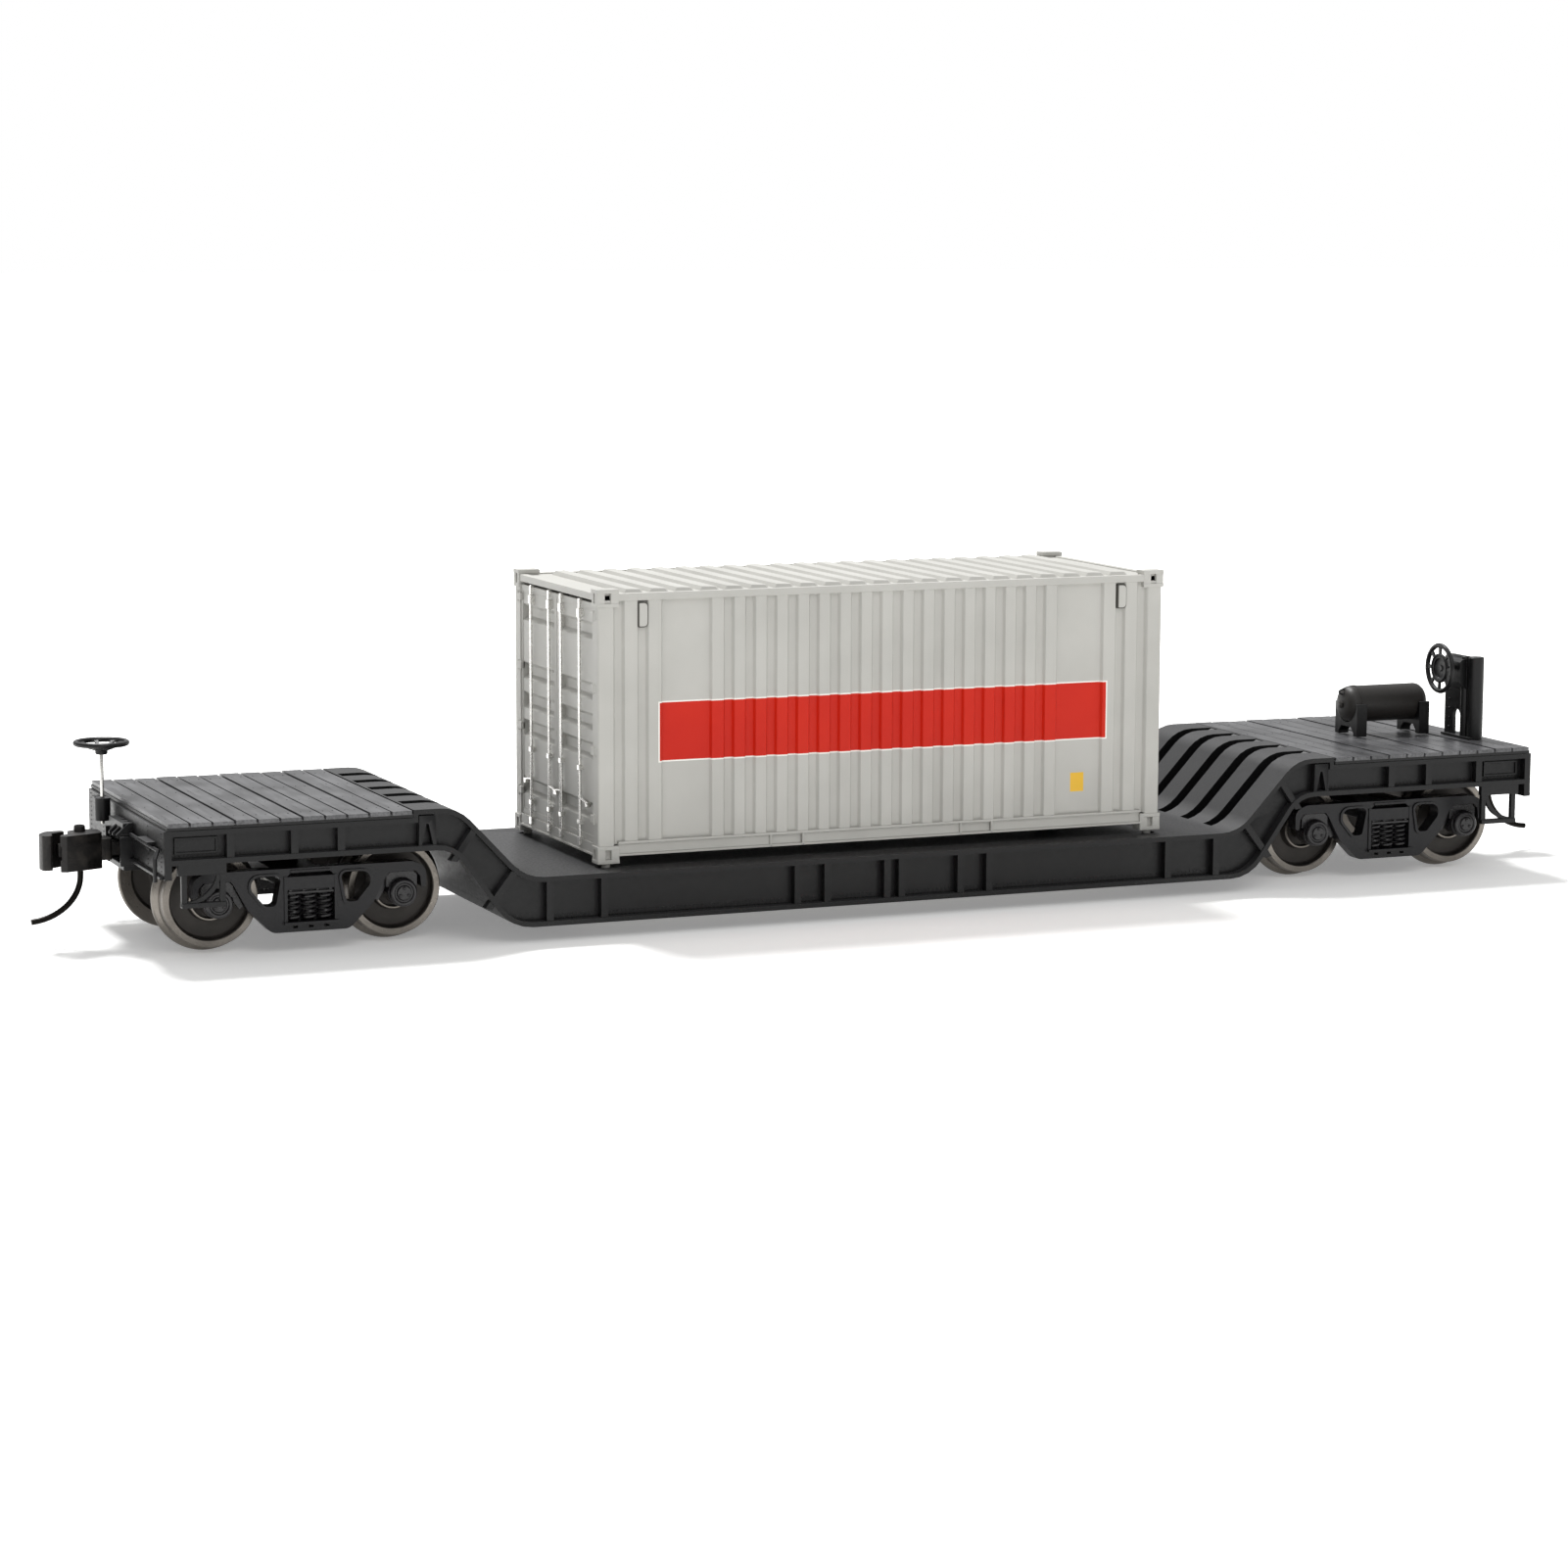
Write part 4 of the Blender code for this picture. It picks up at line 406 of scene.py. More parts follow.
def wire(bm, path, radius, steps=10):
    """A round wire of radius mm along a path of points in mm."""
    points = [Vector(point) for point in path]
    side = None
    rings = []
    for k, point in enumerate(points):
        ahead = (points[min(k + 1, len(points) - 1)] - points[max(k - 1, 0)]).normalized()
        side = ahead.orthogonal() if side is None else side
        side = (side - ahead * side.dot(ahead)).normalized()
        other = ahead.cross(side)
        angles = [2 * math.pi * j / steps for j in range(steps)]
        rings.append([bm.verts.new((point
                                    + (side * math.cos(a) + other * math.sin(a)) * radius) * MM)
                      for a in angles])
    for lower, upper in zip(rings, rings[1:]):
        for j in range(steps):
            bm.faces.new((lower[j], lower[(j + 1) % steps], upper[(j + 1) % steps], upper[j]))
    bm.faces.new(rings[0][::-1])
    bm.faces.new(rings[-1])


END_FACE = 83.6
for end, side in (("a", -1), ("b", 1)):
    bm = bmesh.new()
    face = side * (END_FACE - 0.1)

    def out(reach):
        return face + side * reach

    # Seen from outside either end, the lever's ledge is on the right.
    for k in range(3):
        y = side * (-0.2 + 1.6 * k)
        fin = [(out(0), 12.0), (out(1.9), 12.0), (out(1.9), 12.35), (out(0.5), 13.6),
               (out(0), 13.6)]
        plate(bm, [fin], "XZ", min(y, y + side * 0.45), max(y, y + side * 0.45))
    mm_block(bm, (face, out(1.6)), (side * -0.5, side * 3.9), (11.9, 12.15))
    pocket = [(out(0), 8.9), (out(1.5), 8.9), (out(1.5), 12.4), (out(0), 12.4)]
    for y in (-3.55, 3.15):
        plate(bm, [pocket], "XZ", y, y + 0.4)
    mm_block(bm, (face, out(1.1)), (side * 9.4, side * 13.6), (12.75, 13.05))
    mm_block(bm, (face, out(0.5)), (side * 10.8, side * 12.2), (11.9, 12.8))
    mm_block(bm, (face, out(0.7)), (side * -11.6, side * -12.9), (13.5, 14.4))
    mm_block(bm, (face, out(0.5)), (side * -16.6, side * 16.6), (9.42, 9.75))
    new_piece("end_fittings_" + end, bm, body_abs, "car", 0.07)

    bm = bmesh.new()
    for y in (-15.9, -10.1, 10.1, 15.9):
        for k in range(9):
            add_rivet(bm, (side * END_FACE * MM, y * MM, (10.2 + 0.5 * k) * MM), (side, 0, 0))
    new_piece("end_rivets_" + end, bm, body_abs, "car")
    dressed("uncoupling_lever_" + end, body_abs, "car")
    # A stirrup hangs under each corner: two legs, a curved brace between them and a tread.
    for label, flank in (("near", -1), ("far", 1)):
        low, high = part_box("stirrup_" + end + "_" + label)
        y = (low.y + high.y) / 2 / MM
        bm = bmesh.new()
        for x in (77.0, 81.15):
            mm_block(bm, (side * x, side * (x + 0.6)), (y - 0.28, y + 0.28), (6.4, 10.9))
        mm_block(bm, (side * 76.9, side * 82.1), (y - 0.34, y + 0.34), (9.75, 10.95))
        mm_block(bm, (side * 77.0, side * 81.75), (y - 0.45, y + 0.45), (6.3, 6.8))
        brace = [(77.5 + 3.9 * (1 - math.cos(a)), 9.85 - 3.3 * math.sin(a)) for a in
                 [math.radians(90 * k / 10) for k in range(11)]]
        inner = [(u + 0.42, v + 0.3) for u, v in brace]
        plate(bm, [[(side * u, v) for u, v in brace + inner[::-1]]], "XZ", y - 0.24, y + 0.24)
        new_piece("step_" + end + "_" + label, bm, body_abs, "car", 0.09,
                  ("stirrup_" + end + "_" + label,))
        # The raised frame of a label panel fills the last bay of the side sill.
        bm = bmesh.new()
        outside = [(side * u, v) for u, v in ((77.6, 11.9), (82.3, 11.9), (82.3, 13.7),
                                              (77.6, 13.7))]
        inside = [(side * u, v) for u, v in ((77.85, 12.15), (82.05, 12.15), (82.05, 13.45),
                                             (77.85, 13.45))]
        face_y = web_face / MM
        plate(bm, [outside, inside], "XZ",
              *sorted((flank * (face_y - 0.1), flank * (face_y + 0.22))))
        new_piece("label_frame_" + end + "_" + label, bm, body_abs, "car", 0.05)
    dressed("coupler_box_lid_" + end, body_abs, "car", 0.08)

# ================================================================ the couplers
# A working knuckle coupler: zinc castings for the head and the knuckle, chemically
# blackened, with bare metal where knuckles rub, and a bent steel trip pin down its middle.
blackened_zinc, shader = new_material("blackened_zinc_casting")
links = blackened_zinc.node_tree.links
place = add_node(blackened_zinc, "TexCoord").outputs["Object"]
pitted = add_node(blackened_zinc, "TexNoise",
                  {"Vector": place, "Scale": 1 / (0.35 * MM), "Detail": 4.0})
blotch = add_node(blackened_zinc, "TexNoise",
                  {"Vector": place, "Scale": 1 / (1.8 * MM), "Detail": 3.0})
worn = add_node(blackened_zinc, "MapRange",
                {"Value": blotch.outputs[0], "From Min": 0.5, "From Max": 0.8})
tone = add_node(blackened_zinc, "MixRGB", {"Fac": worn.outputs[0], "Color1": linear("191716"),
                                           "Color2": linear("37332F")})
matt = add_node(blackened_zinc, "MapRange",
                {"Value": pitted.outputs[0], "To Min": 0.32, "To Max": 0.55})
bump = add_node(blackened_zinc, "Bump", {"Height": pitted.outputs[0], "Strength": 0.5,
                                         "Distance": 0.03 * MM})
link_surface(links, shader, tone, matt, bump)
shader.inputs["Metallic"].default_value = 0.4


def drawn_metal(name, bright, dull, rough, mark=0.25):
    """Drawn or turned metal: faint lines and dull spots, mark mm across."""
    material, shader = new_material(name)
    place = add_node(material, "TexCoord").outputs["Object"]
    marks = add_node(material, "TexNoise",
                     {"Vector": place, "Scale": 1 / (mark * MM), "Detail": 3.0})
    spots = add_node(material, "TexNoise", {"Vector": place, "Scale": 1 / (3 * MM)})
    tone = add_node(material, "MixRGB", {"Fac": spots.outputs[0], "Color1": linear(dull),
                                         "Color2": linear(bright)})
    matt = add_node(material, "MapRange",
                    {"Value": marks.outputs[0], "From Min": 0.3, "From Max": 0.7,
                                           "To Min": rough - 0.07, "To Max": rough + 0.1})
    bump = add_node(material, "Bump", {"Height": marks.outputs[0], "Strength": 0.3,
                                       "Distance": 0.01 * MM})
    links = material.node_tree.links
    link_surface(links, shader, tone, matt, bump)
    shader.inputs["Metallic"].default_value = 1.0
    return material


dark_steel = drawn_metal("blackened_steel_wire", "1F1D1B", "121110", 0.3)
plain_steel = drawn_metal("zinc_plated_screw_steel", "A8A7A3", "84827E", 0.3)
spring_bronze = drawn_metal("rolled_phosphor_bronze", "B98A52", "94693B", 0.3)


def rounded(corners, steps=4):
    """Turns (u, v, radius) corners into points, with an arc at each corner that has a radius."""
    points = []
    for i, (u, v, radius) in enumerate(corners):
        here = Vector((u, v))
        if radius <= 0:
            points.append((u, v))
            continue
        back = (Vector(corners[i - 1][:2]) - here).normalized()
        ahead = (Vector(corners[(i + 1) % len(corners)][:2]) - here).normalized()
        half = back.angle(ahead) / 2
        centre = here + (back + ahead).normalized() * (radius / math.sin(half))
        first = here + back * (radius / math.tan(half)) - centre
        last = here + ahead * (radius / math.tan(half)) - centre
        sweep = first.angle_signed(last)
        for k in range(steps + 1):
            turned_by = first.copy()
            turned_by.rotate(Matrix.Rotation(-sweep * k / steps, 2))
            points.append(tuple(centre + turned_by))
    return points


COUPLER_HEIGHT = 10.5
KNUCKLE_PIN = (88.5, -0.4)
for end, side in (("a", -1), ("b", 1)):

    def facing(points):
        """Plan points drawn for end b, turned half round for end a."""
        return [(side * x, side * y) for x, y in points]

    z = COUPLER_HEIGHT
    px, py = KNUCKLE_PIN
    bm = bmesh.new()
    shank = [(77.9, -0.85, 0.3), (87.0, -0.85, 0), (87.0, 0.85, 0), (77.9, 0.85, 0.3)]
    plate(bm, [facing(rounded(shank))], "XY", z - 0.7, z + 0.7)
    neck = [(85.3, -1.15, 0.3), (87.2, -1.25, 0), (87.2, 1.25, 0), (85.3, 1.15, 0.3)]
    plate(bm, [facing(rounded(neck))], "XY", z - 1.15, z + 1.15)
    head = [(86.4, -1.25, 0.4), (87.6, -1.75, 0.5), (89.0, -1.6, 0.3), (89.7, -1.1, 0.2),
            (89.7, 0.7, 0.3),
            (90.9, 1.5, 0.3), (91.3, 2.45, 0.3), (90.6, 2.75, 0.2), (88.2, 1.95, 0.6),
            (86.4, 1.25, 0.4)]
    for low, high in ((z - 2.0, z - 0.82), (z + 0.82, z + 1.9)):
        plate(bm, [facing(rounded(head, 3))], "XY", low, high)
    back = [(86.4, -1.25, 0.3), (87.5, -1.6, 0.2), (87.5, 0.6, 0), (90.2, 1.2, 0.2),
            (91.2, 2.45, 0.2),
            (90.6, 2.7, 0.2), (88.2, 1.95, 0.6), (86.4, 1.25, 0.4)]
    plate(bm, [facing(rounded(back, 3))], "XY", z - 1.9, z + 1.8)
    boss = ((0, 0), (0.62, 0), (0.62, 0.75), (0.5, 0.9), (0.35, 0.9))
    turned(bm, boss, (side * px, side * py, z + 1.7), (0, 0, 1), 20)
    new_piece("coupler_head_" + end, bm, blackened_zinc, "coupler_" + end, 0.12,
              ("coupler_" + end + "_head",))

    bm = bmesh.new()
    tail = [(px - 0.7, py - 0.7, 0.3), (px + 2.5, py - 1.0, 0.2), (px + 2.5, py + 0.45, 0.2),
            (px - 0.7, py + 0.7, 0.3)]
    plate(bm, [facing(rounded(tail, 3))], "XY", z - 0.7, z + 0.7)
    jaw = [(px + 1.5, py - 1.65, 0.4), (px + 3.5, py - 1.55, 0.9), (px + 4.5, py + 0.1, 0.8),
           (px + 4.35, py + 1.75, 0.35), (px + 3.3, py + 1.65, 0.3), (px + 3.1, py + 0.15, 0.35),
           (px + 1.5, py - 0.8, 0.2)]
    plate(bm, [facing(rounded(jaw, 3))], "XY", z - 1.95, z + 1.85)
    new_piece("knuckle_" + end, bm, blackened_zinc, "knuckle_" + end, 0.14,
              ("coupler_" + end + "_knuckle",))

    # The trip pin drops from the knuckle and sweeps outwards, like the air hose it stands for.
    bm = bmesh.new()
    drop = 2.9
    bend = 5.6
    path = [(px, z + 2.65), (px, z - 0.5), (px, z - drop + 0.6), (px, z - drop)]
    for k in range(1, 15):
        angle = math.radians(78) * k / 14
        path.append((px + bend * (1 - math.cos(angle)) * 1.05,
                     z - drop - bend * math.sin(angle) * 0.86))
    path.append((path[-1][0] + 0.8, path[-1][1] - 0.1))
    wire(bm, [(side * x, side * py, height) for x, height in path], 0.33, 12)
    new_piece("trip_pin_" + end, bm, dark_steel, "knuckle_" + end, 0.06,
              ("coupler_" + end + "_trip_pin",))
    dressed("coupler_" + end + "_spring", spring_bronze, "car")
    dressed("coupler_box_screw_" + end, plain_steel, "car", 0.05)
    dressed("truck_screw_" + end, plain_steel, "car", 0.08)
dressed("floor_weight", plain_steel, "car", 0.1)

# ================================================================== the trucks
# Two four-wheel trucks in a slippery black engineering plastic (acetal), which looks a
# shade duller than the body. Each side frame is a flat casting with a window either side
# of the spring bay and an open jaw over each roller bearing.
frame_acetal = moulded_plastic("moulded_black_acetal", "18171A", "111113", 0.36, 0.22, 0.02, 0.32)
bearing_acetal = moulded_plastic("moulded_bearing_acetal", "1E1C1E", "121113", 0.3, 0.2, 0.03, 0.45)
truck_x = (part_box("truck_b_bolster")[0].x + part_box("truck_b_bolster")[1].x) / 2 / MM
AXLE_SPAN = 20.4
AXLE_Z = 5.89
FRAME_FACE = 13.0


def both_ways(right_half):
    """Completes an outline that is the same either side of its middle."""
    return right_half + [(-u, v, r) for u, v, r in reversed(right_half)]


def shifted(points, by):
    return [(u + by, v) for u, v in points]


def helix(middle, radius, low, high, turns, steps=14):
    count = int(turns * steps)
    return [(middle[0] + radius * math.cos(2 * math.pi * k / steps),
             middle[1] + radius * math.sin(2 * math.pi * k / steps),
             low + (high - low) * k / count) for k in range(count + 1)]


frame_edge = both_ways([(3.4, 9.2, 0), (11.4, 9.2, 0), (12.9, 8.6, 1.2), (12.9, 6.3, 0.3),
                        (12.35, 6.3, 0.2),
                        (12.25, 7.55, 0.4), (11.75, 8.15, 0.3), (8.75, 8.15, 0.3), (8.35, 7.6, 0.3),
                        (6.9, 4.9, 1.2), (4.3, 2.3, 1.3)])
frame_window = [(3.25, 8.5, 0.55), (6.75, 8.5, 0.95), (6.55, 7.0, 0.9), (5.05, 5.25, 0.45),
                (3.9, 5.25, 0.45)]
window_rim = [(2.95, 8.75, 0.8), (7.05, 8.75, 1.2), (6.85, 6.9, 1.1), (5.2, 4.95, 0.7),
              (3.6, 4.95, 0.7)]
spring_bay = [(-2.6, 3.4), (2.6, 3.4), (2.6, 8.3), (2.15, 8.75), (-2.15, 8.75), (-2.6, 8.3)]

for end, side in (("a", -1), ("b", 1)):
    centre = side * truck_x
    for label, flank in (("near", -1), ("far", 1)):

        def depth(inner, outer):
            """Low and high y of a layer that lies inner to outer mm from the car's middle."""
            return sorted((flank * inner, flank * outer))

        bm = bmesh.new()
        windows = []
        rims = []
        for mirror in (-1, 1):
            hole = rounded([(mirror * u, v, r) for u, v, r in frame_window][::mirror])
            rim = rounded([(mirror * u, v, r) for u, v, r in window_rim][::mirror])
            windows.append(shifted(hole, centre))
            rims.append(shifted(rim, centre))
        pegs = [[(centre + x - 0.28, 2.72), (centre + x + 0.28, 2.72), (centre + x + 0.28, 2.98),
                 (centre + x - 0.28, 2.98)] for x in (-1.75, 0.0, 1.75)]
        outline = shifted(rounded(frame_edge, 5), centre)
        plate(bm, [outline, shifted(spring_bay, centre)] + windows + pegs, "XZ",
              *depth(11.3, FRAME_FACE))
        for hole, rim in zip(windows, rims):
            plate(bm, [rim, hole], "XZ", *depth(FRAME_FACE - 0.1, FRAME_FACE + 0.2))
        # The two guide columns beside the springs, the spring seat and its lip.
        for mirror in (-1, 1):
            column = [(centre + mirror * u, v) for u,
                      v in ((2.6, 3.3), (2.95, 3.3), (2.95, 8.35), (2.6, 8.35))]
            plate(bm, [column], "XZ", *depth(FRAME_FACE - 0.1, FRAME_FACE + 0.15))
        mm_block(bm, (centre - 3.0, centre + 3.0), (flank * 11.2, flank * 13.45), (3.15, 3.42))
        mm_block(bm, (centre - 2.2, centre + 2.2), (flank * 12.0, flank * 13.15), (8.75, 9.0))
        new_piece("truck_%s_frame_%s" % (end, label), bm, frame_acetal, "truck_" + end,
                  0.09,
                  ("truck_%s_side_frame_%s" % (end, label),))

        # A roller bearing in each jaw: its adapter, its drum, and the end cap with three bolts.
        bm = bmesh.new()
        for mirror in (-1, 1):
            x = centre + mirror * AXLE_SPAN / 2
            adapter = [(x - 1.75, 6.5), (x + 1.75, 6.5), (x + 1.75, 7.7), (x + 1.35, 8.1),
                       (x - 1.35, 8.1),
                       (x - 1.75, 7.7)]
            plate(bm, [adapter], "XZ", *depth(11.3, 12.85))
            drum = ((0, 0), (1.6, 0), (1.6, 1.9), (1.5, 2.0), (1.5, 2.5), (1.36, 2.64),
                    (1.12, 2.64),
                    (1.02, 2.5), (0.84, 2.5), (0.76, 2.7), (0, 2.7))
            turned(bm, drum, (x, flank * 11.15, AXLE_Z), (0, flank, 0), 32)
            for k in range(3):
                angle = math.radians(90 + 120 * k)
                foot = (x + 0.52 * math.cos(angle), flank * 13.8, AXLE_Z + 0.52 * math.sin(angle))
                turned(bm, ((0, 0), (0.2, 0), (0.2, 0.16), (0.12, 0.2), (0, 0.2)), foot,
                       (0, flank, 0), 6)
            jaw = [(centre + mirror * u, v) for u,
                   v in ((8.35, 7.6), (8.8, 7.9), (8.3, 5.9), (7.7, 5.0), (7.2, 5.3))]
            plate(bm, [jaw], "XZ", *depth(11.3, 12.3))
        new_piece("truck_%s_bearings_%s" % (end, label), bm, bearing_acetal, "truck_" + end,
                  0.05)

        # Three coil springs stand between the seat and the ribbed end of the bolster.
        bm = bmesh.new()
        for x in (-1.75, 0.0, 1.75):
            wire(bm, helix((centre + x, flank * 12.25), 0.66, 3.45, 6.5, 5.5), 0.2, 6)
        mm_block(bm, (centre - 2.7, centre + 2.7), (flank * 11.0, flank * 11.5), (3.0, 8.9))
        end_plate = [(-2.5, 6.45), (2.5, 6.45), (2.5, 7.9), (2.2, 8.2), (-2.2, 8.2), (-2.5, 7.9)]
        plate(bm, [shifted(end_plate, centre)], "XZ", *depth(11.3, 12.75))
        for x in (-2.2, -0.75, 0.75, 2.2):
            mm_block(bm, (centre + x - 0.17, centre + x + 0.17), (flank * 12.6, flank * 13.0),
                     (6.6, 8.0))
        mm_block(bm, (centre - 2.5, centre + 2.5), (flank * 12.6, flank * 13.15), (6.45, 6.7))
        new_piece("truck_%s_spring_set_%s" % (end, label), bm, bearing_acetal, "truck_" + end,
                  0.04, ("truck_%s_springs_%s" % (end, label),))
    dressed("truck_%s_bolster" % end, frame_acetal, "truck_" + end, 0.1)

# ================================================================= the wheelsets
# Wheels are turned from nickel silver. The tread and the rim's face are left bright, with
# tool marks round them, and the dished plate between rim and hub is chemically browned.
tyre_metal = drawn_metal("turned_nickel_silver", "8F8A83", "66615C", 0.32, 0.12)
axle_steel = drawn_metal("turned_axle_steel", "6E6A66", "4E4A47", 0.36)
plate_metal, shader = new_material("browned_nickel_silver")
links = plate_metal.node_tree.links
place = add_node(plate_metal, "TexCoord").outputs["Object"]
cloudy = add_node(plate_metal, "TexNoise",
                  {"Vector": place, "Scale": 1 / (2.2 * MM), "Detail": 3.0})
tone = add_node(plate_metal, "MixRGB", {"Fac": cloudy.outputs[0], "Color1": linear("2F2C29"),
                                        "Color2": linear("413D39")})
fine = add_node(plate_metal, "TexNoise", {"Vector": place, "Scale": 1 / (0.2 * MM), "Detail": 2.0})
matt = add_node(plate_metal, "MapRange", {"Value": fine.outputs[0], "To Min": 0.42, "To Max": 0.6})
bump = add_node(plate_metal, "Bump", {"Height": fine.outputs[0], "Strength": 0.4,
                                      "Distance": 0.012 * MM})
link_surface(links, shader, tone, matt, bump)
shader.inputs["Metallic"].default_value = 0.35

WHEEL = ((1.17, 7.35), (2.2, 7.35), (2.4, 7.6), (4.1, 7.75), (4.45, 7.2), (5.7, 7.2), (5.86, 7.3),
         (5.89, 7.45),
         (5.84, 7.66), (5.62, 7.95), (5.36, 8.06), (5.26, 8.2), (5.22, 9.88), (5.12, 10.0),
         (4.52, 10.0),
         (4.42, 9.92), (4.36, 9.1), (4.2, 8.95), (3.6, 8.86), (2.9, 8.84), (2.5, 8.95),
         (2.36, 9.25), (2.34, 9.9),
         (2.26, 9.98), (2.12, 9.98), (2.04, 9.88), (2.0, 9.3), (1.17, 9.2))


def paint(piece, material, test):
    """Gives the faces whose middle passes the test a second material."""
    piece.data.materials.append(material)
    for face in piece.data.polygons:
        if test(face.center / MM):
            face.material_index = len(piece.data.materials) - 1


for end, side in (("a", -1), ("b", 1)):
    for number in (1, 2):
        wheelset = "truck_%s_wheelset_%d" % (end, number)
        low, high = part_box(wheelset + "_axle")
        x = (low.x + high.x) / 2 / MM
        for label, flank in (("near", -1), ("far", 1)):
            bm = bmesh.new()
            turned(bm, WHEEL, (x, 0, AXLE_Z), (0, flank, 0), 96, ring=True)
            wheel = new_piece(wheelset + "_turned_wheel_" + label, bm, tyre_metal, wheelset,
                              0.0,
                              (wheelset + "_wheel_" + label,))

            def in_plate(middle):
                reach = math.hypot(middle.x - x, middle.z - AXLE_Z)
                return reach < 4.44 and not (2.05 < reach < 2.33 and abs(middle.y) > 9.9)

            paint(wheel, plate_metal, in_plate)
        dressed(wheelset + "_axle", axle_steel, wheelset)

# ================================================================ the hand brake
# On end a, a bright drawn-steel staff turns in a bush on the end sill. It carries a
# moulded hand wheel, dished on three spokes' worth of webs round a small hub.
bright_steel = drawn_metal("bright_drawn_steel", "DAD9D6", "B5B3AF", 0.2, 0.5)
low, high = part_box("hand_brake_staff")
staff_x = (low.x + high.x) / 2 / MM
staff_y = (low.y + high.y) / 2 / MM
bm = bmesh.new()
staff = ((0, low.z / MM), (0.16, low.z / MM), (0.21, low.z / MM + 0.15), (0.21, high.z / MM - 0.2),
         (0.14, high.z / MM - 0.02), (0, high.z / MM))
turned(bm, staff, (staff_x, staff_y, 0), (0, 0, 1), 16)
new_piece("brake_staff", bm, bright_steel, "hand_brake", 0.0, ("hand_brake_staff",))
dressed("brake_staff_bush", body_abs, "car", 0.06)


def spoked_wheel(bm, foot, axis, radius, hub, openings, dish, thickness):
    """A hand wheel: a round rim, and a dished web with rounded openings between its spokes."""
    lean = Vector((0, 0, 1)).rotation_difference(Vector(axis)).to_matrix()
    rim = radius - 0.3
    ring = [(rim + 0.3 * math.cos(a), 0.3 * math.sin(a))
            for a in [2 * math.pi * k / 10 for k in range(10)]]
    turned(bm, ring, foot, axis, 48, ring=True)
    steps = openings * 8
    radii = [hub + (rim - hub) * share for share in (0.0, 0.22, 0.42, 0.62, 0.82, 1.0)]
    layers = []
    for lift in (-thickness / 2, thickness / 2):
        rows = []
        for reach in radii:
            drop = dish * (1 - (reach - hub) / (rim - hub))
            rows.append([bm.verts.new((Vector(foot) + lean @ Vector((
                reach * math.cos(2 * math.pi * k / steps),
                reach * math.sin(2 * math.pi * k / steps),
                lift - drop))) * MM) for k in range(steps)])
        layers.append(rows)
    # A cell is cut away where it lies between two spokes, away from the hub and the rim.
    solid = set()
    for row in range(len(radii) - 1):
        for k in range(steps):
            spot = k % 8
            if not (1 <= row <= 3 and 1 <= spot <= 6 or row == 4 and 2 <= spot <= 5):
                solid.add((row, k))
    for row, k in solid:
        after = (k + 1) % steps
        for rows, turn in ((layers[0], 1), (layers[1], -1)):
            cell = [rows[row][k], rows[row][after], rows[row + 1][after], rows[row + 1][k]]
            bm.faces.new(cell[::turn])
        sides = {((row - 1, k), (row, k), (row, after)),
                 ((row + 1, k), (row + 1, after), (row + 1, k)),
                 ((row, (k - 1) % steps), (row + 1, k), (row, k)),
                 ((row, after), (row, after), (row + 1, after))}
        for beyond, start, stop in sides:
            if beyond not in solid:
                wall = [layers[0][start[0]][start[1]], layers[0][stop[0]][stop[1]],
                        layers[1][stop[0]][stop[1]], layers[1][start[0]][start[1]]]
                bm.faces.new(wall)


low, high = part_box("hand_brake_wheel")
bm = bmesh.new()
rim_z = high.z / MM - 0.33
spoked_wheel(bm, (staff_x, staff_y, rim_z), (0, 0, 1), (high.x - low.x) / 2 / MM - 0.02, 0.7, 8,
             0.75, 0.22)
hub = ((0.24, -1.25), (0.62, -1.25), (0.68, -1.1), (0.68, -0.35), (0.5, -0.2), (0.24, -0.2))
turned(bm, hub, (staff_x, staff_y, rim_z), (0, 0, 1), 24, ring=True)
new_piece("hand_wheel", bm, body_abs, "hand_brake", 0.03, ("hand_brake_wheel",))

# A geared brake stands on the planks of end b: a pressed plate with a slot at its foot and a
# rounded post on its outer edge, a gear housing, and an upright wheel that faces the deck.
low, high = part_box("brake_stand")
low, high = low / MM, high / MM
plate_x = low.x + 1.0
bm = bmesh.new()
slot_low = high.y - 3.5
slot_high = high.y - 1.9
arch = [(slot_low + 0.8 + 0.8 * math.cos(a), low.z + 2.6 + 0.8 * math.sin(a))
        for a in [math.pi * k / 8 for k in range(9)]]
face = [(high.y, low.z), (high.y, high.z - 1.3), (high.y - 1.1, high.z), (low.y + 0.9, high.z),
        (low.y + 0.9, low.z),
        (slot_low, low.z)] + arch[::-1] + [(slot_high, low.z)]
plate(bm, [face], "YZ", plate_x, plate_x + 0.45)
mm_block(bm, (plate_x + 0.2, high.x), (high.y - 0.45, high.y), (low.z, high.z - 1.5))
post = ((0, 0), (0.95, 0), (0.95, high.z - low.z - 0.12), (0.85, high.z - low.z),
        (0, high.z - low.z))
turned(bm, post, (plate_x + 0.75, low.y + 0.95, low.z), (0, 0, 1), 28)
bead = ((0, 0), (0.55, 0), (0.55, high.z - low.z - 0.12), (0.45, high.z - low.z),
        (0, high.z - low.z))
turned(bm, bead, (plate_x + 0.15, low.y + 2.3, low.z), (0, 0, 1), 20)
case = [(plate_x - 1.0, high.z - 3.2), (plate_x - 1.0, high.z - 0.7), (plate_x - 0.7, high.z - 0.4),
        (plate_x + 0.2, high.z - 0.25), (plate_x + 0.2, high.z - 4.3)]
plate(bm, [case], "XZ", high.y - 4.8, high.y - 1.6)
for k in range(5):
    add_rivet(bm, Vector((plate_x, high.y - 1.0, low.z + 1.0 + 1.15 * k)) * MM, (-1, 0, 0),
              0.16 * MM)
mm_block(bm, (plate_x - 0.5, high.x), (low.y + 0.3, high.y), (low.z, low.z + 0.25))
new_piece("brake_stand_plate", bm, body_abs, "car", 0.08, ("brake_stand",))

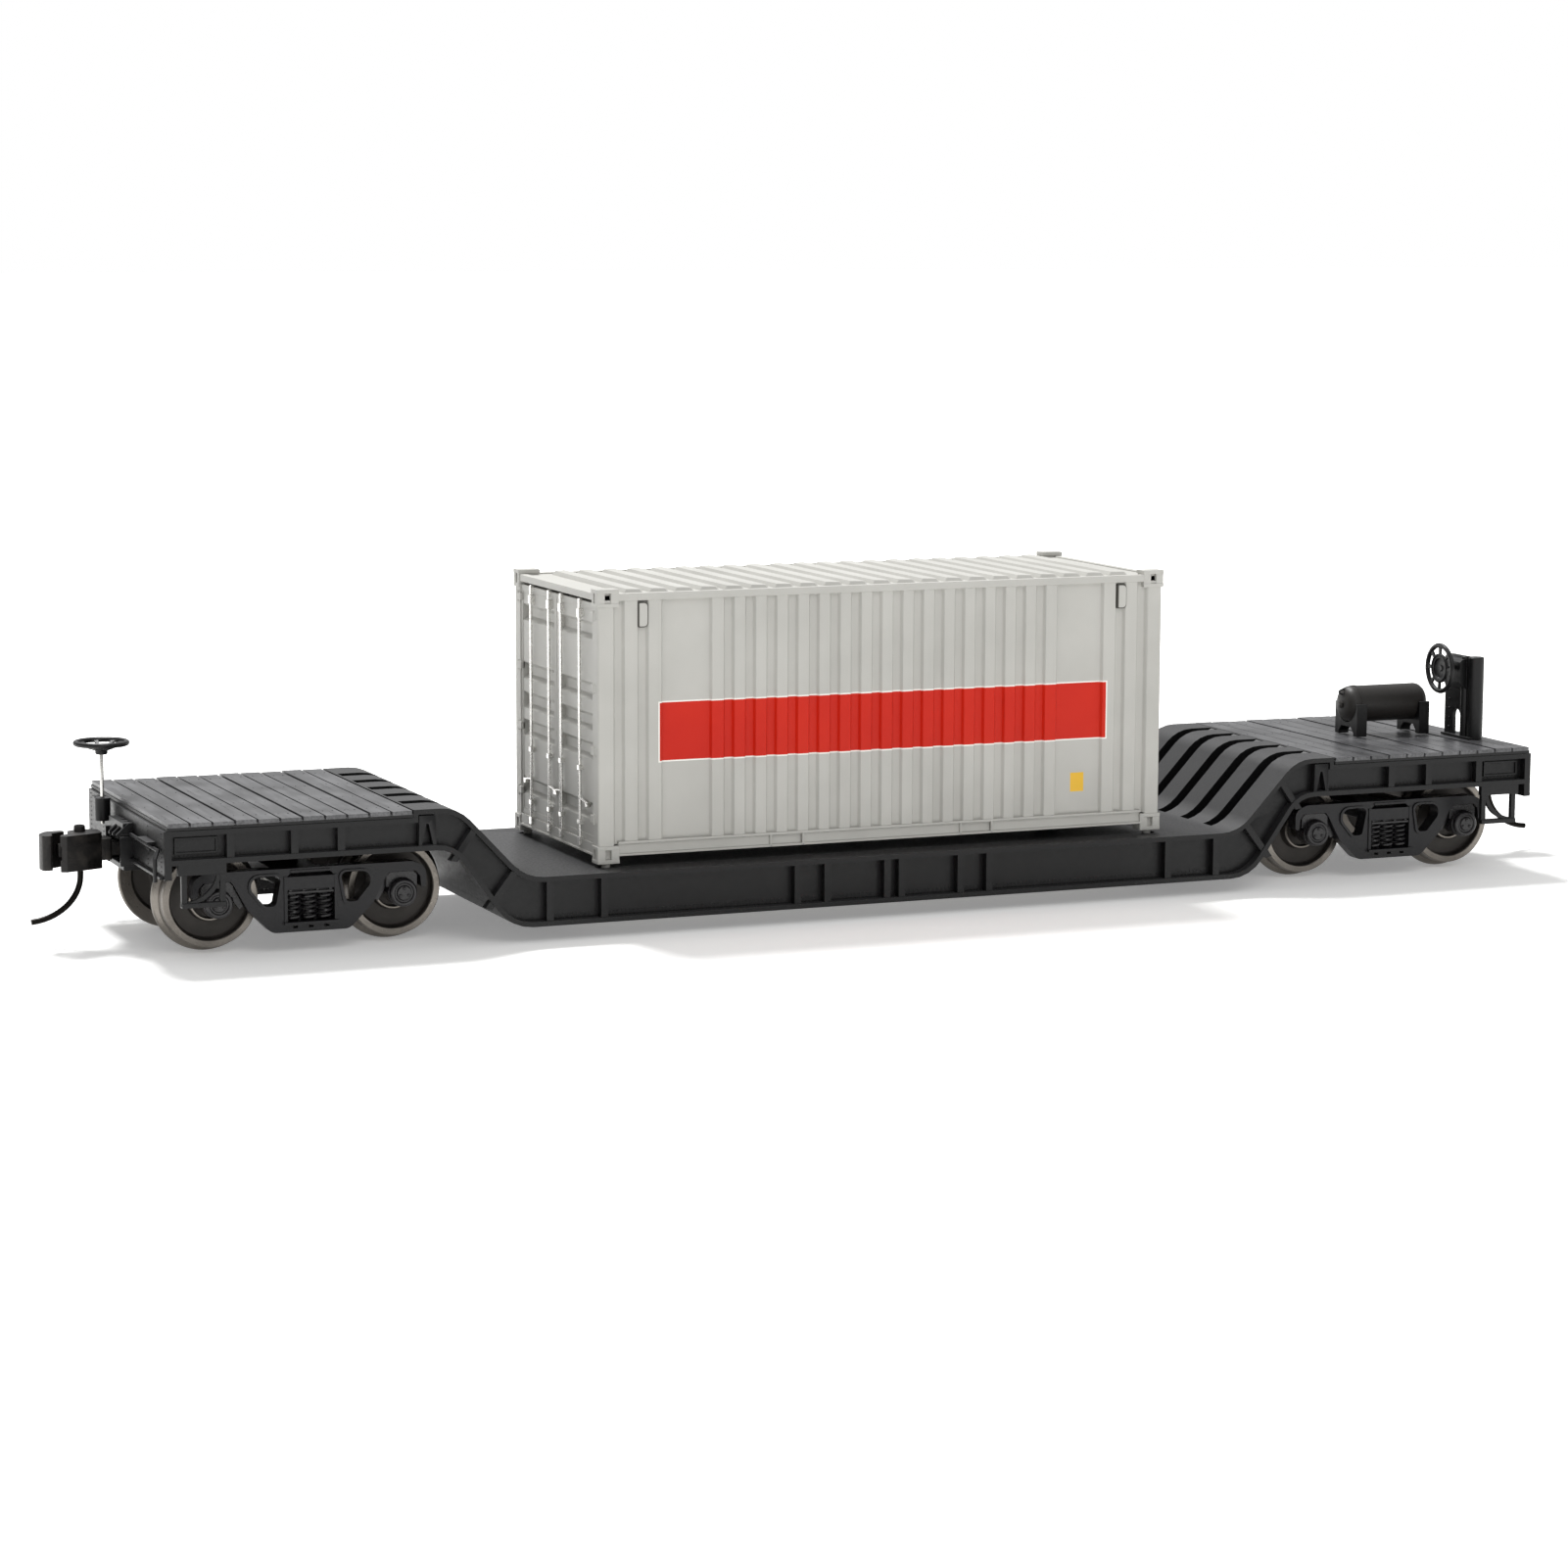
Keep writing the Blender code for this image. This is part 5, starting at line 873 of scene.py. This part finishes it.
low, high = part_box("brake_wheel")
disc_x = low.x / MM + 0.32
disc_y = (low.y + high.y) / 2 / MM
disc_z = (low.z + high.z) / 2 / MM
bm = bmesh.new()
spoked_wheel(bm, (disc_x, disc_y, disc_z), (-1, 0, 0), (high.z - low.z) / 2 / MM - 0.02, 1.25, 8,
             0.0, 0.26)
boss = ((0, -0.5), (0.5, -0.5), (0.55, -0.2), (1.1, -0.35), (1.5, -0.28), (1.78, -0.1),
        (1.78, 0.16), (1.62, 0.26),
        (1.45, 0.2), (1.2, -0.1), (0.95, -0.18), (0.4, -0.18), (0.32, -0.05), (0, -0.05))
turned(bm, boss, (disc_x, disc_y, disc_z), (-1, 0, 0), 40)
rod(bm, (disc_x + 0.3, disc_y, disc_z), (high.x / MM, disc_y, disc_z), 0.33, 16)
new_piece("upright_brake_wheel", bm, body_abs, "brake_wheel", 0.03,
          ("brake_wheel",))

# ============================================================== the air reservoir
# A moulded drum with domed ends lies along the car on two saddles. A seam ring runs round
# it near its outer end, and a lug and a pipe union stand on top.
low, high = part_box("air_reservoir")
tank_y = (low.y + high.y) / 2 / MM
tank_r = 2.3
tank_z = high.z / MM - tank_r
start = low.x / MM
length = (high.x - low.x) / MM
bm = bmesh.new()
shell = ((0, 0.1), (0.7, 0.13), (1.35, 0.25), (1.85, 0.5), (2.12, 0.85), (2.22, 1.2), (2.22, 1.6),
         (2.3, 1.65),
         (2.3, 2.0), (2.22, 2.05), (2.22, length - 1.5), (2.12, length - 1.15),
         (1.85, length - 0.8),
         (1.35, length - 0.55), (0.7, length - 0.43), (0, length - 0.4))
turned(bm, shell, (start, tank_y, tank_z), (1, 0, 0), 48)
turned(bm, ((0, 0), (0.45, 0), (0.45, 0.25), (0.25, 0.35), (0, 0.35)),
       (start + 0.15, tank_y, tank_z), (-1, 0, 0), 6)
drum_abs = moulded_plastic("moulded_drum_abs", "2C2927", "201E1C", 0.5, gloss=0.4)
new_piece("reservoir_drum", bm, drum_abs, "car", 0.0, ("air_reservoir",))
bm = bmesh.new()
for x in (start + 1.5, start + length - 1.5):
    arc = [(tank_y + 2.2 * math.cos(a), tank_z + 2.2 * math.sin(a))
           for a in [math.radians(180 + 180 * k / 12) for k in range(13)]]
    saddle = [(tank_y + 2.6, low.z / MM), (tank_y + 2.6, tank_z + 0.2),
              (tank_y + 2.2, tank_z + 0.2)] + arc[::-1]
    saddle += [(tank_y - 2.2, tank_z + 0.2), (tank_y - 2.6, tank_z + 0.2),
               (tank_y - 2.6, low.z / MM),
               (tank_y - 1.7, low.z / MM), (tank_y - 1.7, low.z / MM + 0.4),
               (tank_y - 1.1, tank_z - 2.7),
               (tank_y + 1.1, tank_z - 2.7), (tank_y + 1.7, low.z / MM + 0.4),
               (tank_y + 1.7, low.z / MM)]
    plate(bm, [saddle], "YZ", x - 0.7, x + 0.7)
loop = [(start + 0.3 + 0.55 * math.cos(a), tank_y, high.z / MM - 0.75 + 0.3 * math.sin(a))
        for a in [math.radians(60 + 300 * k / 16) for k in range(17)]]
wire(bm, loop, 0.12, 8)
new_piece("reservoir_saddles", bm, body_abs, "car", 0.07)

# ================================================================= the container
# A twenty-foot steel box in miniature, moulded in pale grey ABS: corrugated walls, a frame
# of posts and rails, eight corner castings, and a plain red band printed round it. Four
# pegs under the lower castings drop into sockets in the car's deck.
RED_LOW = 18.6
RED_HIGH = 25.35
RED_START = -27.2
RED_END = 28.1
KEYLINE = 0.16
grey_abs, shader = new_material("moulded_grey_abs_with_printed_band")
links = grey_abs.node_tree.links
place = add_node(grey_abs, "TexCoord").outputs["Object"]
parts = add_node(grey_abs, "SeparateXYZ", {0: place})
skin = add_node(grey_abs, "TexNoise", {"Vector": place, "Scale": 1 / (0.3 * MM), "Detail": 2.0})
flow = add_node(grey_abs, "TexNoise", {"Vector": place, "Scale": 1 / (8 * MM), "Detail": 3.0})
dust = add_node(grey_abs, "MapRange", {"Value": flow.outputs[0], "From Min": 0.3, "From Max": 0.7})
grey = add_node(grey_abs, "MixRGB", {"Fac": dust.outputs[0], "Color1": linear("B0AFAA"),
                                     "Color2": linear("B8B7B2")})


def between(value, low, high):
    """1 where value lies between low and high mm."""
    over = add_node(grey_abs, "Math", {0: value, 1: low * MM}, operation="GREATER_THAN")
    under = add_node(grey_abs, "Math", {0: value, 1: high * MM}, operation="LESS_THAN")
    return add_node(grey_abs, "Math", {0: over.outputs[0], 1: under.outputs[0]},
                    operation="MULTIPLY").outputs[0]


def panel(grow):
    """1 inside the printed band, made larger or smaller by grow mm."""
    along = between(parts.outputs[0], RED_START - grow, RED_END + grow)
    upward = between(parts.outputs[2], RED_LOW - grow, RED_HIGH + grow)
    return add_node(grey_abs, "Math", {0: along, 1: upward}, operation="MULTIPLY").outputs[0]


edged = add_node(grey_abs, "MixRGB", {"Fac": panel(0.0), "Color1": grey.outputs[0],
                                      "Color2": linear("E9E6E0")})
ink = add_node(grey_abs, "MixRGB", {"Fac": dust.outputs[0], "Color1": linear("BC1903"),
                                    "Color2": linear("C42006")})
printed = add_node(grey_abs, "MixRGB", {"Fac": panel(-KEYLINE), "Color1": edged.outputs[0],
                                        "Color2": ink.outputs[0]})
plate_mark = add_node(grey_abs, "Math", {0: between(parts.outputs[0], 23.7, 25.4),
                                         1: between(parts.outputs[2], 12.6, 14.8)},
                      operation="MULTIPLY")
all_print = add_node(grey_abs, "MixRGB",
                     {"Fac": plate_mark.outputs[0], "Color1": printed.outputs[0],
                                          "Color2": linear("E0B23A")})
links.new(all_print.outputs[0], shader.inputs["Base Color"])
matt = add_node(grey_abs, "MapRange", {"Value": skin.outputs[0], "To Min": 0.4, "To Max": 0.54})
links.new(matt.outputs[0], shader.inputs["Roughness"])
shader.inputs["Specular IOR Level"].default_value = 0.25
bump = add_node(grey_abs, "Bump", {"Height": skin.outputs[0], "Strength": 0.4,
                                   "Distance": 0.01 * MM})
links.new(bump.outputs[0], shader.inputs["Normal"])

BOX_X = 0.35
HALF_X = 34.775
HALF_Y = 13.995
BOX_BOTTOM = 8.15
BOX_TOP = 37.9
RAIL_TOP = 9.9
HEADER = 36.62
POST = 1.95
RECESS = 0.42
SLOPE = 0.22
MOUTH = 1.3
PITCH = 2.555


def recess_profile(middles, low, high, face):
    """A corrugated line from low to high: (along, across) points that dip at each (middle, mouth)."""
    line = [(low, face)]
    for middle, mouth in sorted(middles):
        half = mouth / 2
        line += [(middle - half, face), (middle - half + SLOPE, face - RECESS),
                 (middle + half - SLOPE, face - RECESS), (middle + half, face)]
    return line + [(high, face)]


side_low = BOX_X - HALF_X + POST - 0.2
side_high = BOX_X + HALF_X - POST + 0.2
side_middles = [(BOX_X + sign * (HALF_X - inset), mouth) for sign in (-1, 1)
                for inset, mouth in ((2.65, MOUTH), (5.45, MOUTH), (10.6, 6.0))]
side_middles += [(BOX_X + (k - 7.5) * PITCH, MOUTH) for k in range(16)]
bm = bmesh.new()
wall_y = HALF_Y - 0.2
for flank in (-1, 1):
    outer = [(x, flank * y) for x, y in recess_profile(side_middles, side_low, side_high, wall_y)]
    inner = [(side_high, flank * (wall_y - 1.1)), (side_low, flank * (wall_y - 1.1))]
    plate(bm, [outer + inner], "XY", RAIL_TOP - 0.2, HEADER + 0.2)
end_y = HALF_Y - POST
count = int(2 * end_y / PITCH)
end_middles = [((k - (count - 1) / 2) * PITCH, MOUTH) for k in range(count)]
face_x = HALF_X - 0.25
outer = [(BOX_X + x, y) for y, x in recess_profile(end_middles, -end_y - 0.2, end_y + 0.2, face_x)]
inner = [(BOX_X + face_x - 1.1, end_y + 0.2), (BOX_X + face_x - 1.1, -end_y - 0.2)]
plate(bm, [outer + inner], "XY", RAIL_TOP - 0.2, HEADER + 0.2)
new_piece("container_walls", bm, grey_abs, "container", 0.07, ("container_shell",))

# The frame: folded corner posts, headers, and bottom rails with a lip along either edge.
bm = bmesh.new()
for sx in (-1, 1):
    for sy in (-1, 1):
        x = BOX_X + sx * HALF_X
        y = sy * HALF_Y
        plan = [(x - sx * 0.15, y - sy * POST), (x - sx * 0.15, y - sy * 0.3),
                (x - sx * 0.3, y - sy * 0.15),
                (x - sx * POST, y - sy * 0.15), (x - sx * POST, y - sy * 0.6),
                (x - sx * 0.8, y - sy * POST)]
        plate(bm, [plan], "XY", BOX_BOTTOM + 1.2, BOX_TOP - 1.2)
for sy in (-1, 1):
    y = sy * (HALF_Y - 0.03)
    ends = (BOX_X - HALF_X + 2.5, BOX_X + HALF_X - 2.5)
    mm_block(bm, ends, (y - sy * 0.05, y - sy * 0.9), (HEADER, BOX_TOP - 0.5))
    pockets = [[(x, 8.65), (x + 3.7, 8.65), (x + 3.7, 9.75), (x, 9.75)] for x in (-13.7, 9.7)]
    rail = [(ends[0], BOX_BOTTOM + 0.35), (ends[1], BOX_BOTTOM + 0.35), (ends[1], RAIL_TOP),
            (ends[0], RAIL_TOP)]
    plate(bm, [rail] + pockets, "XZ", *sorted((y - sy * 0.3, y - sy * 0.9)))
    for z in ((BOX_BOTTOM + 0.3, BOX_BOTTOM + 0.55), (RAIL_TOP - 0.1, RAIL_TOP + 0.16)):
        mm_block(bm, ends, (y, y - sy * 0.9), z)
    for pocket in (-13.7, 9.7):
        for x in (pocket - 0.22, pocket + 3.7):
            mm_block(bm, (x, x + 0.22), (y, y - sy * 0.9), (BOX_BOTTOM + 0.3, RAIL_TOP))
        mm_block(bm, (pocket - 0.1, pocket + 3.8), (y - sy * 0.45, y - sy * 0.95), (8.6, 9.8))
for sx in (-1, 1):
    x = BOX_X + sx * (HALF_X - 0.05)
    ends = (-HALF_Y + 1.8, HALF_Y - 1.8)
    mm_block(bm, (x - sx * 0.1, x - sx * 1.0), ends, (HEADER, BOX_TOP - 0.5))
    mm_block(bm, (x - sx * 0.1, x - sx * 1.0), ends, (BOX_BOTTOM + 0.3, RAIL_TOP - 0.1))
    mm_block(bm, (x, x - sx * 1.05), ends, (BOX_BOTTOM + 0.25, BOX_BOTTOM + 0.5))
new_piece("container_frame", bm, grey_abs, "container", 0.05)

# A vent stands near each end of either side: a small rounded hood, ringed by painted shadow, a dark grey plate a
# little larger than the hood set just behind it.
# The dark grey round each hood is painted shadow, standing for the shade in the gap round a real hood.
painted_shadow_grey = moulded_plastic("grey_abs_painted_vent_shadow", "55544F", "4A4945", 0.6, gloss=0.2)
hoods = bmesh.new()
painted_shadow_rims = bmesh.new()
for flank in (-1, 1):
    for x in (-28.95, 29.85):
        hood = rounded([(x - 0.5, 33.75, 0.1), (x + 0.42, 33.75, 0.4), (x + 0.42, 36.3, 0.4),
                        (x - 0.5, 36.3, 0.1)], 4)
        outline = [(x + (u - x) * 1.26, 35.02 + (v - 35.02) * 1.1) for u, v in hood]
        plate(painted_shadow_rims, [outline], "XZ", *sorted((flank * (HALF_Y - 0.6), flank * (HALF_Y - 0.14))))
        plate(hoods, [hood], "XZ", *sorted((flank * (HALF_Y - 0.5), flank * (HALF_Y - 0.01))))
        mm_block(hoods, (x - 0.3, x + 0.28), (flank * (HALF_Y - 0.3), flank * HALF_Y),
                 (33.95, 34.15))
new_piece("container_vents", hoods, grey_abs, "container", 0.08)
new_piece("container_vent_painted_shadows", painted_shadow_rims, painted_shadow_grey, "container")

# The roof is one pressed sheet, stiffened by low ribs with tapered ends.
bm = bmesh.new()
roof_z = BOX_TOP - 0.6
RIBS = 21
mm_block(bm, (BOX_X - HALF_X + 0.5, BOX_X + HALF_X - 0.5), (-HALF_Y + 0.5, HALF_Y - 0.5),
         (BOX_TOP - 1.3, roof_z - 0.05))
for k in range(RIBS):
    x = BOX_X + (k - (RIBS - 1) / 2) * 2.98
    reach = HALF_Y - 1.0
    tail = reach - 1.2
    base = [(x - 1.0, -tail), (x + 0.75, -reach), (x + 0.95, -reach + 0.15),
            (x + 0.95, reach - 0.15), (x + 0.75, reach), (x - 1.0, tail)]
    crown = [(x - 0.7, -tail + 0.1), (x + 0.6, -reach + 0.65), (x + 0.75, -reach + 0.75),
             (x + 0.75, reach - 0.75), (x + 0.6, reach - 0.65), (x - 0.7, tail - 0.1)]
    foot = [bm.verts.new(Vector((u, v, roof_z - 0.06)) * MM) for u, v in base]
    top = [bm.verts.new(Vector((u, v, roof_z + 0.42)) * MM) for u, v in crown]
    bm.faces.new(foot[::-1])
    bm.faces.new(top)
    for j in range(6):
        bm.faces.new((foot[j - 1], foot[j], top[j], top[j - 1]))
new_piece("container_roof", bm, grey_abs, "container", 0.05)

# Eight corner castings, each with a rounded lifting slot in its outer faces, and the floor.
CASTING = (2.6, 1.9, 1.95)
CASTING_FOOT = 7.65
SLOT_HALF = 0.32
CAP = 0.43
bm = bmesh.new()
for sx in (-1, 1):
    for sy in (-1, 1):
        for bottom in (CASTING_FOOT, BOX_TOP - CASTING[2]):
            x = BOX_X + sx * HALF_X
            y = sy * HALF_Y
            top = bottom + CASTING[2]
            for near, past in ((0, CASTING[0] / 2 - SLOT_HALF),
                               (CASTING[0] / 2 + SLOT_HALF, CASTING[0])):
                mm_block(bm, (x - sx * (near + 0.02), x - sx * (past - 0.02)),
                         (y - sy * 0.04, y - sy * 0.8),
                         (bottom + 0.3, top - 0.3))
            for near, past in ((0.05, CASTING[1] / 2 - SLOT_HALF),
                               (CASTING[1] / 2 + SLOT_HALF, CASTING[1])):
                mm_block(bm, (x - sx * 0.04, x - sx * 0.85),
                         (y - sy * near, y - sy * (past - 0.02)),
                         (bottom + 0.3, top - 0.3))
            mm_block(bm, (x - sx * 0.55, x - sx * 2.5), (y - sy * 0.5, y - sy * 1.8),
                     (bottom + 0.2, top - 0.2))
            for cap in ((bottom, bottom + CAP), (top - CAP, top)):
                mm_block(bm, (x, x - sx * CASTING[0]), (y, y - sy * CASTING[1]), cap)
        px = BOX_X + sx * (HALF_X - CASTING[0] / 2)
        py = sy * (HALF_Y - CASTING[1] / 2)
        peg = ((0, -1.75), (0.38, -1.75), (0.5, -1.6), (0.5, 0.2), (0, 0.2))
        turned(bm, peg, (px, py, BOX_BOTTOM), (0, 0, 1), 20)
mm_block(bm, (BOX_X - HALF_X + 0.6, BOX_X + HALF_X - 0.6), (-HALF_Y + 0.7, HALF_Y - 0.7),
         (8.55, 9.3))
for k in range(14):
    x = BOX_X + (k - 6.5) * 4.8
    mm_block(bm, (x - 0.25, x + 0.25), (-HALF_Y + 0.9, HALF_Y - 0.9), (8.3, 8.7))
new_piece("container_castings", bm, grey_abs, "container", 0.06, ("container_floor",))

# Two doors close end a. Each leaf is a pressed sheet with five channels across it, hung on
# block hinges, and four plated rods lock it in keepers at top and bottom.
door_face = BOX_X - HALF_X + 0.4
bm = bmesh.new()
channels = (13.2, 19.9, 23.1, 26.5, 33.2)
profile = [(door_face, 9.8)]
for z in channels:
    profile += [(door_face, z - 0.95), (door_face + 0.6, z - 0.5), (door_face + 0.6, z + 0.5),
                (door_face, z + 0.95)]
profile += [(door_face, 36.29), (door_face + 0.9, 36.29), (door_face + 0.9, 9.8)]
for flank in (-1, 1):
    plate(bm, [profile], "XZ", *sorted((flank * 0.9, flank * 11.7)))
    for y in ((0.06, 0.95), (11.6, 12.4)):
        mm_block(bm, (door_face - 0.08, door_face + 0.9), (flank * y[0], flank * y[1]),
                 (9.8, 36.29))
    for z in ((9.8, 10.5), (35.6, 36.29)):
        mm_block(bm, (door_face - 0.06, door_face + 0.9), (flank * 0.06, flank * 12.4), z)
    for z in (12.5, 20.0, 27.0, 34.9):
        mm_block(bm, (door_face - 0.38, door_face + 0.2), (flank * 11.6, flank * 12.6),
                 (z - 0.42, z + 0.42))
        mm_block(bm, (door_face - 0.3, door_face + 0.2), (flank * 12.5, flank * 13.3),
                 (z - 0.42, z + 0.42))
        rod(bm, (door_face - 0.2, flank * 12.55, z - 0.6),
            (door_face - 0.2, flank * 12.55, z + 0.6), 0.19, 12)
new_piece("container_door_leaves", bm, grey_abs, "container", 0.06,
          ("container_doors",))

plated = drawn_metal("bright_zinc_plate", "F2F1EE", "D8D6D2", 0.26, 0.3)
for number, y in ((1, -8.1), (2, -2.0), (3, 2.0), (4, 8.1)):
    bm = bmesh.new()
    x = door_face - 0.34
    rod(bm, (x, y, 9.0), (x, y, 36.5), 0.165, 16)
    for z in (11.6, 17.7):
        mm_block(bm, (x - 0.22, door_face + 0.1), (y - 0.36, y + 0.36), (z - 0.28, z + 0.28))
    for z in ((34.4, 35.4), (9.0, 9.9)):
        mm_block(bm, (x - 0.2, door_face + 0.1), (y - 0.36, y + 0.36), z)
    mm_block(bm, (x - 0.1, door_face + 0.1), (y - 0.24, y + 0.24), (36.0, 36.5))
    toward = -1 if number > 2 else 1
    if number in (1, 4):
        toward = -toward
    lever_z = 14.3
    wire(bm, ((x, y, lever_z), (x - 0.02, y + toward * 0.8, lever_z - 0.05), (x - 0.02, y + toward * 2.5, lever_z - 0.3)), 0.15, 8)
    mm_block(bm, (x - 0.1, door_face + 0.1), (y + toward * 1.9, y + toward * 2.5), (lever_z - 0.75, lever_z - 0.2))
    new_piece("lock_bar_%d" % number, bm, plated, "container", 0.05, ("lock_rod_%d" % number,))
